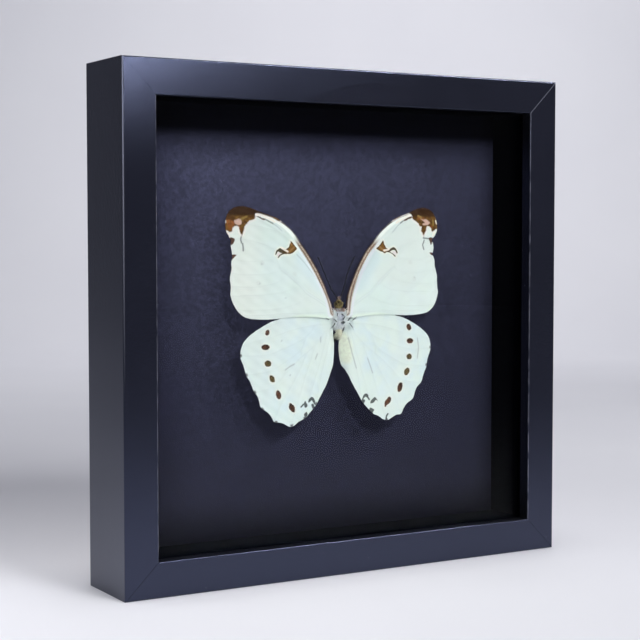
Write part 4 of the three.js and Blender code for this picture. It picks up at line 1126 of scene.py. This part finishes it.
for side, sign in (("Left", -1), ("Right", 1)):
    tube("antenna" + side, antennae[side], 10, antennaHorn, ["antenna_" + side.lower()],
         step=0.16, rings=(0.5, 0.16))
    for kind, path in legs.items():
        path = [(sign * x, depth, z, radius) for x, depth, z, radius in path]
        tube("leg" + kind.capitalize() + side, path, 10, darkHorn,
             ["leg_%s_%s" % (kind, side.lower())], step=0.3, rings=(2.4, 0.1))


def pinEnamel():
    paint = Paint("pinEnamel")
    wear = paint.noise(0.5, 3)
    colour = paint.mix(paint.fade(wear, 0.6, 0.75), tint(22, 22, 26), tint(70, 70, 74))
    return paint.finish({"Base Color": colour, "Metallic": 0.6, "Roughness": 0.28 + 0.2 * wear})


pinDepths = (pin["front"], 20, pin["tip"] - pin["taper"])
pinPath = [(pin["x"], depth, pin["z"], pin["radius"]) for depth in pinDepths]
pinPath.append((pin["x"], pin["tip"], pin["z"], 0.05))
tube("mountingPin", pinPath, 16, pinEnamel(), ["mounting_pin"], step=1.0)
print("body, legs and pin made")

# how many strands, and their length and width in mm
hair = {
    "thorax": {"count": 5200, "long": (0.8, 1.5), "width": 0.045, "bend": (0, 0.1, -0.25)},
    "shoulder": {"count": 620, "long": (1.0, 4.6), "width": 0.034, "bend": (0, 0.06, -0.05)},
    "locks": {"long": (0.6, 1.1), "width": 0.05, "bend": (0, 0, 0)},  # here long is a share of each lock
    "head": {"count": 420, "long": (0.5, 1.5), "width": 0.09, "bend": (0, 0, -0.3)},
    "collar": {"count": 700, "long": (0.6, 1.4), "width": 0.05, "bend": (0, 0, -0.15)},
    "abdomen": {"count": 1500, "long": (0.5, 1.0), "width": 0.04, "bend": (0, 0.1, -0.2)},
}
greyHair = hairPaint("greyHair", tint(196, 198, 206), tint(226, 230, 232), tint(252, 253, 252))
fanHair = hairPaint("fanHair", tint(222, 228, 230), tint(232, 238, 237), tint(253, 254, 253))
oliveHair = hairPaint("oliveHair", tint(40, 30, 10), tint(112, 90, 36), tint(214, 194, 132))
pinkHair = hairPaint("pinkHair", tint(96, 74, 68), tint(142, 116, 106), tint(190, 164, 152))
creamHair = hairPaint("creamHair", tint(186, 182, 158), tint(216, 214, 194), tint(242, 242, 228))
shadeHair = hairPaint("shadeHair", tint(40, 44, 52), tint(48, 54, 64), tint(124, 132, 136))
rng = np.random.default_rng(7)


def onEllipsoid(part, count):
    unit = rng.normal(0, 1, (count, 3))
    unit /= np.linalg.norm(unit, axis=1)[:, None]
    roots = np.array(part["centre"]) + unit * np.array(part["radii"]) * 0.97
    normals = unit / np.array(part["radii"])
    return roots, normals / np.linalg.norm(normals, axis=1)[:, None]


roots, normals = onEllipsoid(thorax, hair["thorax"]["count"])
barePatches = [(0.1, 112.2, 1.1, 1.3), (0.9, 109.9, 1.2, 0.8)]  # on the front: x, z, half width, half height
bare = np.any([np.hypot((roots[:, 0] - x) / wide, (roots[:, 2] - z) / tall) < 1
               for x, z, wide, tall in barePatches], axis=0)
keep = ~(bare & (normals[:, 1] < 0))
roots, normals = roots[keep], normals[keep]
ways = normals * 0.7 + np.array([0, 0.1, -0.75]) + rng.normal(0, 0.3, roots.shape)
ways = ways + (roots - np.array(thorax["centre"])) * [0.12, 0, 0]
lengths = rng.uniform(*hair["thorax"]["long"], len(roots))
growHair("thoraxHair", hair["thorax"], roots, ways, lengths, greyHair, 11)

for side, sign in (("Left", -1), ("Right", 1)):  # long hair lying out over the wing roots
    count = hair["shoulder"]["count"]
    short, long = hair["shoulder"]["long"]
    high = rng.uniform(-1, 1, count)
    inset = sign * rng.uniform(1.5, 2.5, count)
    roots = np.stack([inset, 13.9 + 0.7 * high ** 2 + rng.uniform(-0.1, 0.5, count), 111.7 + 3.2 * high], 1)
    fan = high * 0.75 - 0.12 + rng.normal(0, 0.25, count)
    ways = np.stack([sign * np.ones(count), rng.uniform(-0.2, -0.02, count), fan], 1)
    lengths = rng.uniform(short, short + (long - short) * rng.uniform(0, 1, count))
    growHair("shoulderHair" + side, hair["shoulder"], roots, ways, lengths, fanHair, 20 + sign)

# painted shade: dark strands laid between them where shade falls between the tufts, each from one point to
# another: x, z, x, z, depth, hairs
locks = [
    (-6.4, 111.3, -8.1, 112, 13.3, 16), (-2.3, 110.3, -4.3, 111.9, 13.2, 22),
    (-3, 109.5, -5.3, 106.9, 13.6, 20), (3.5, 110.6, 5.9, 112.5, 13.3, 20),
    (6, 110.7, 8.3, 112.1, 13.3, 16), (4.6, 109.5, 7, 106.5, 13.7, 20),
    (0, 113.8, 1.7, 112.3, 12.9, 24), (1.7, 112.4, 0.1, 110.7, 12.8, 28),
    (-2, 113.9, -2.1, 112.5, 13.1, 34)]
roots, ways, lengths = [], [], []
for x1, z1, x2, z2, depth, count in locks:
    long = math.hypot(x2 - x1, z2 - z1)
    for _ in range(count):
        roots.append((x1 + rng.normal(0, 0.09), depth + rng.normal(0, 0.08), z1 + rng.normal(0, 0.09)))
        ways.append((x2 - x1 + rng.normal(0, 0.06) * long, 0, z2 - z1 + rng.normal(0, 0.06) * long))
        lengths.append(long * rng.uniform(*hair["locks"]["long"]))
growHair("darkLocks", hair["locks"], roots, ways, np.array(lengths), shadeHair, 15)
scabHorn = horn("scabHorn", tint(22, 34, 34), tint(46, 58, 58), 0.4)
scab = {"centre": (0.95, 13.25, 109.85), "radii": (1.05, 0.45, 0.62), "dents": 0.12}
ellipsoid("pinScab", scab["centre"], scab["radii"], scabHorn, dents=scab["dents"], rings=12, turns=20)

roots, normals = onEllipsoid(skull, hair["head"]["count"])
ways = normals + np.array([0, -0.15, 0.2]) + rng.normal(0, 0.55, roots.shape)
growHair("headHair", hair["head"], roots, ways, rng.uniform(*hair["head"]["long"], len(roots)), oliveHair, 12)

count = hair["collar"]["count"]
turns = rng.uniform(0, 2 * math.pi, count)
rise = rng.uniform(-0.5, 0.6, count)
roots = np.stack([0.1 + 2.1 * np.cos(turns), 15.9 + 2.2 * np.sin(turns), 115.2 + rise], 1)
ways = np.stack([np.cos(turns), np.sin(turns), rng.uniform(-0.5, 0.9, count)], 1)
growHair("collarHair", hair["collar"], roots, ways, rng.uniform(*hair["collar"]["long"], count), pinkHair, 13)

line = smoothCurve(body["abdomen"], 0.1)
line = line[line[:, 2] > 103.4]  # the upper part, which shows
picked = line[rng.integers(0, len(line), hair["abdomen"]["count"])]
turns = rng.uniform(0, 2 * math.pi, len(picked))
spread = np.stack([np.cos(turns), -np.abs(np.sin(turns)) * 0.8 + 0.2, np.sin(turns) * 0.6], 1)
roots = picked[:, :3] + spread * picked[:, 3:] * 0.9
lengths = rng.uniform(*hair["abdomen"]["long"], len(picked))
growHair("abdomenHair", hair["abdomen"], roots, spread + [0, 0.1, -0.7], lengths, creamHair, 14)
print("hair grown")

for piece in scene.objects:  # fine hair lets light through
    if piece.name.endswith(("Hair", "HairLeft", "HairRight")):
        piece.visible_shadow = False

# some lamps light only some pieces, or shine past some of them
linkKinds = [("lights", "INCLUDE", "receiver_collection"), ("passes", "EXCLUDE", "blocker_collection")]
for name, lamp in lamps.items():
    for use, state, role in linkKinds:
        if use not in lamp:
            continue
        group = bpy.data.collections.new(name + use.capitalize())
        for piece in scene.objects:
            if piece.type == "MESH" and any(piece.name.lower().startswith(word) for word in lamp[use]):
                group.objects.link(piece)
        for member in group.collection_objects:
            member.light_linking.link_state = state
        setattr(lamp["softbox"].light_linking, role, group)
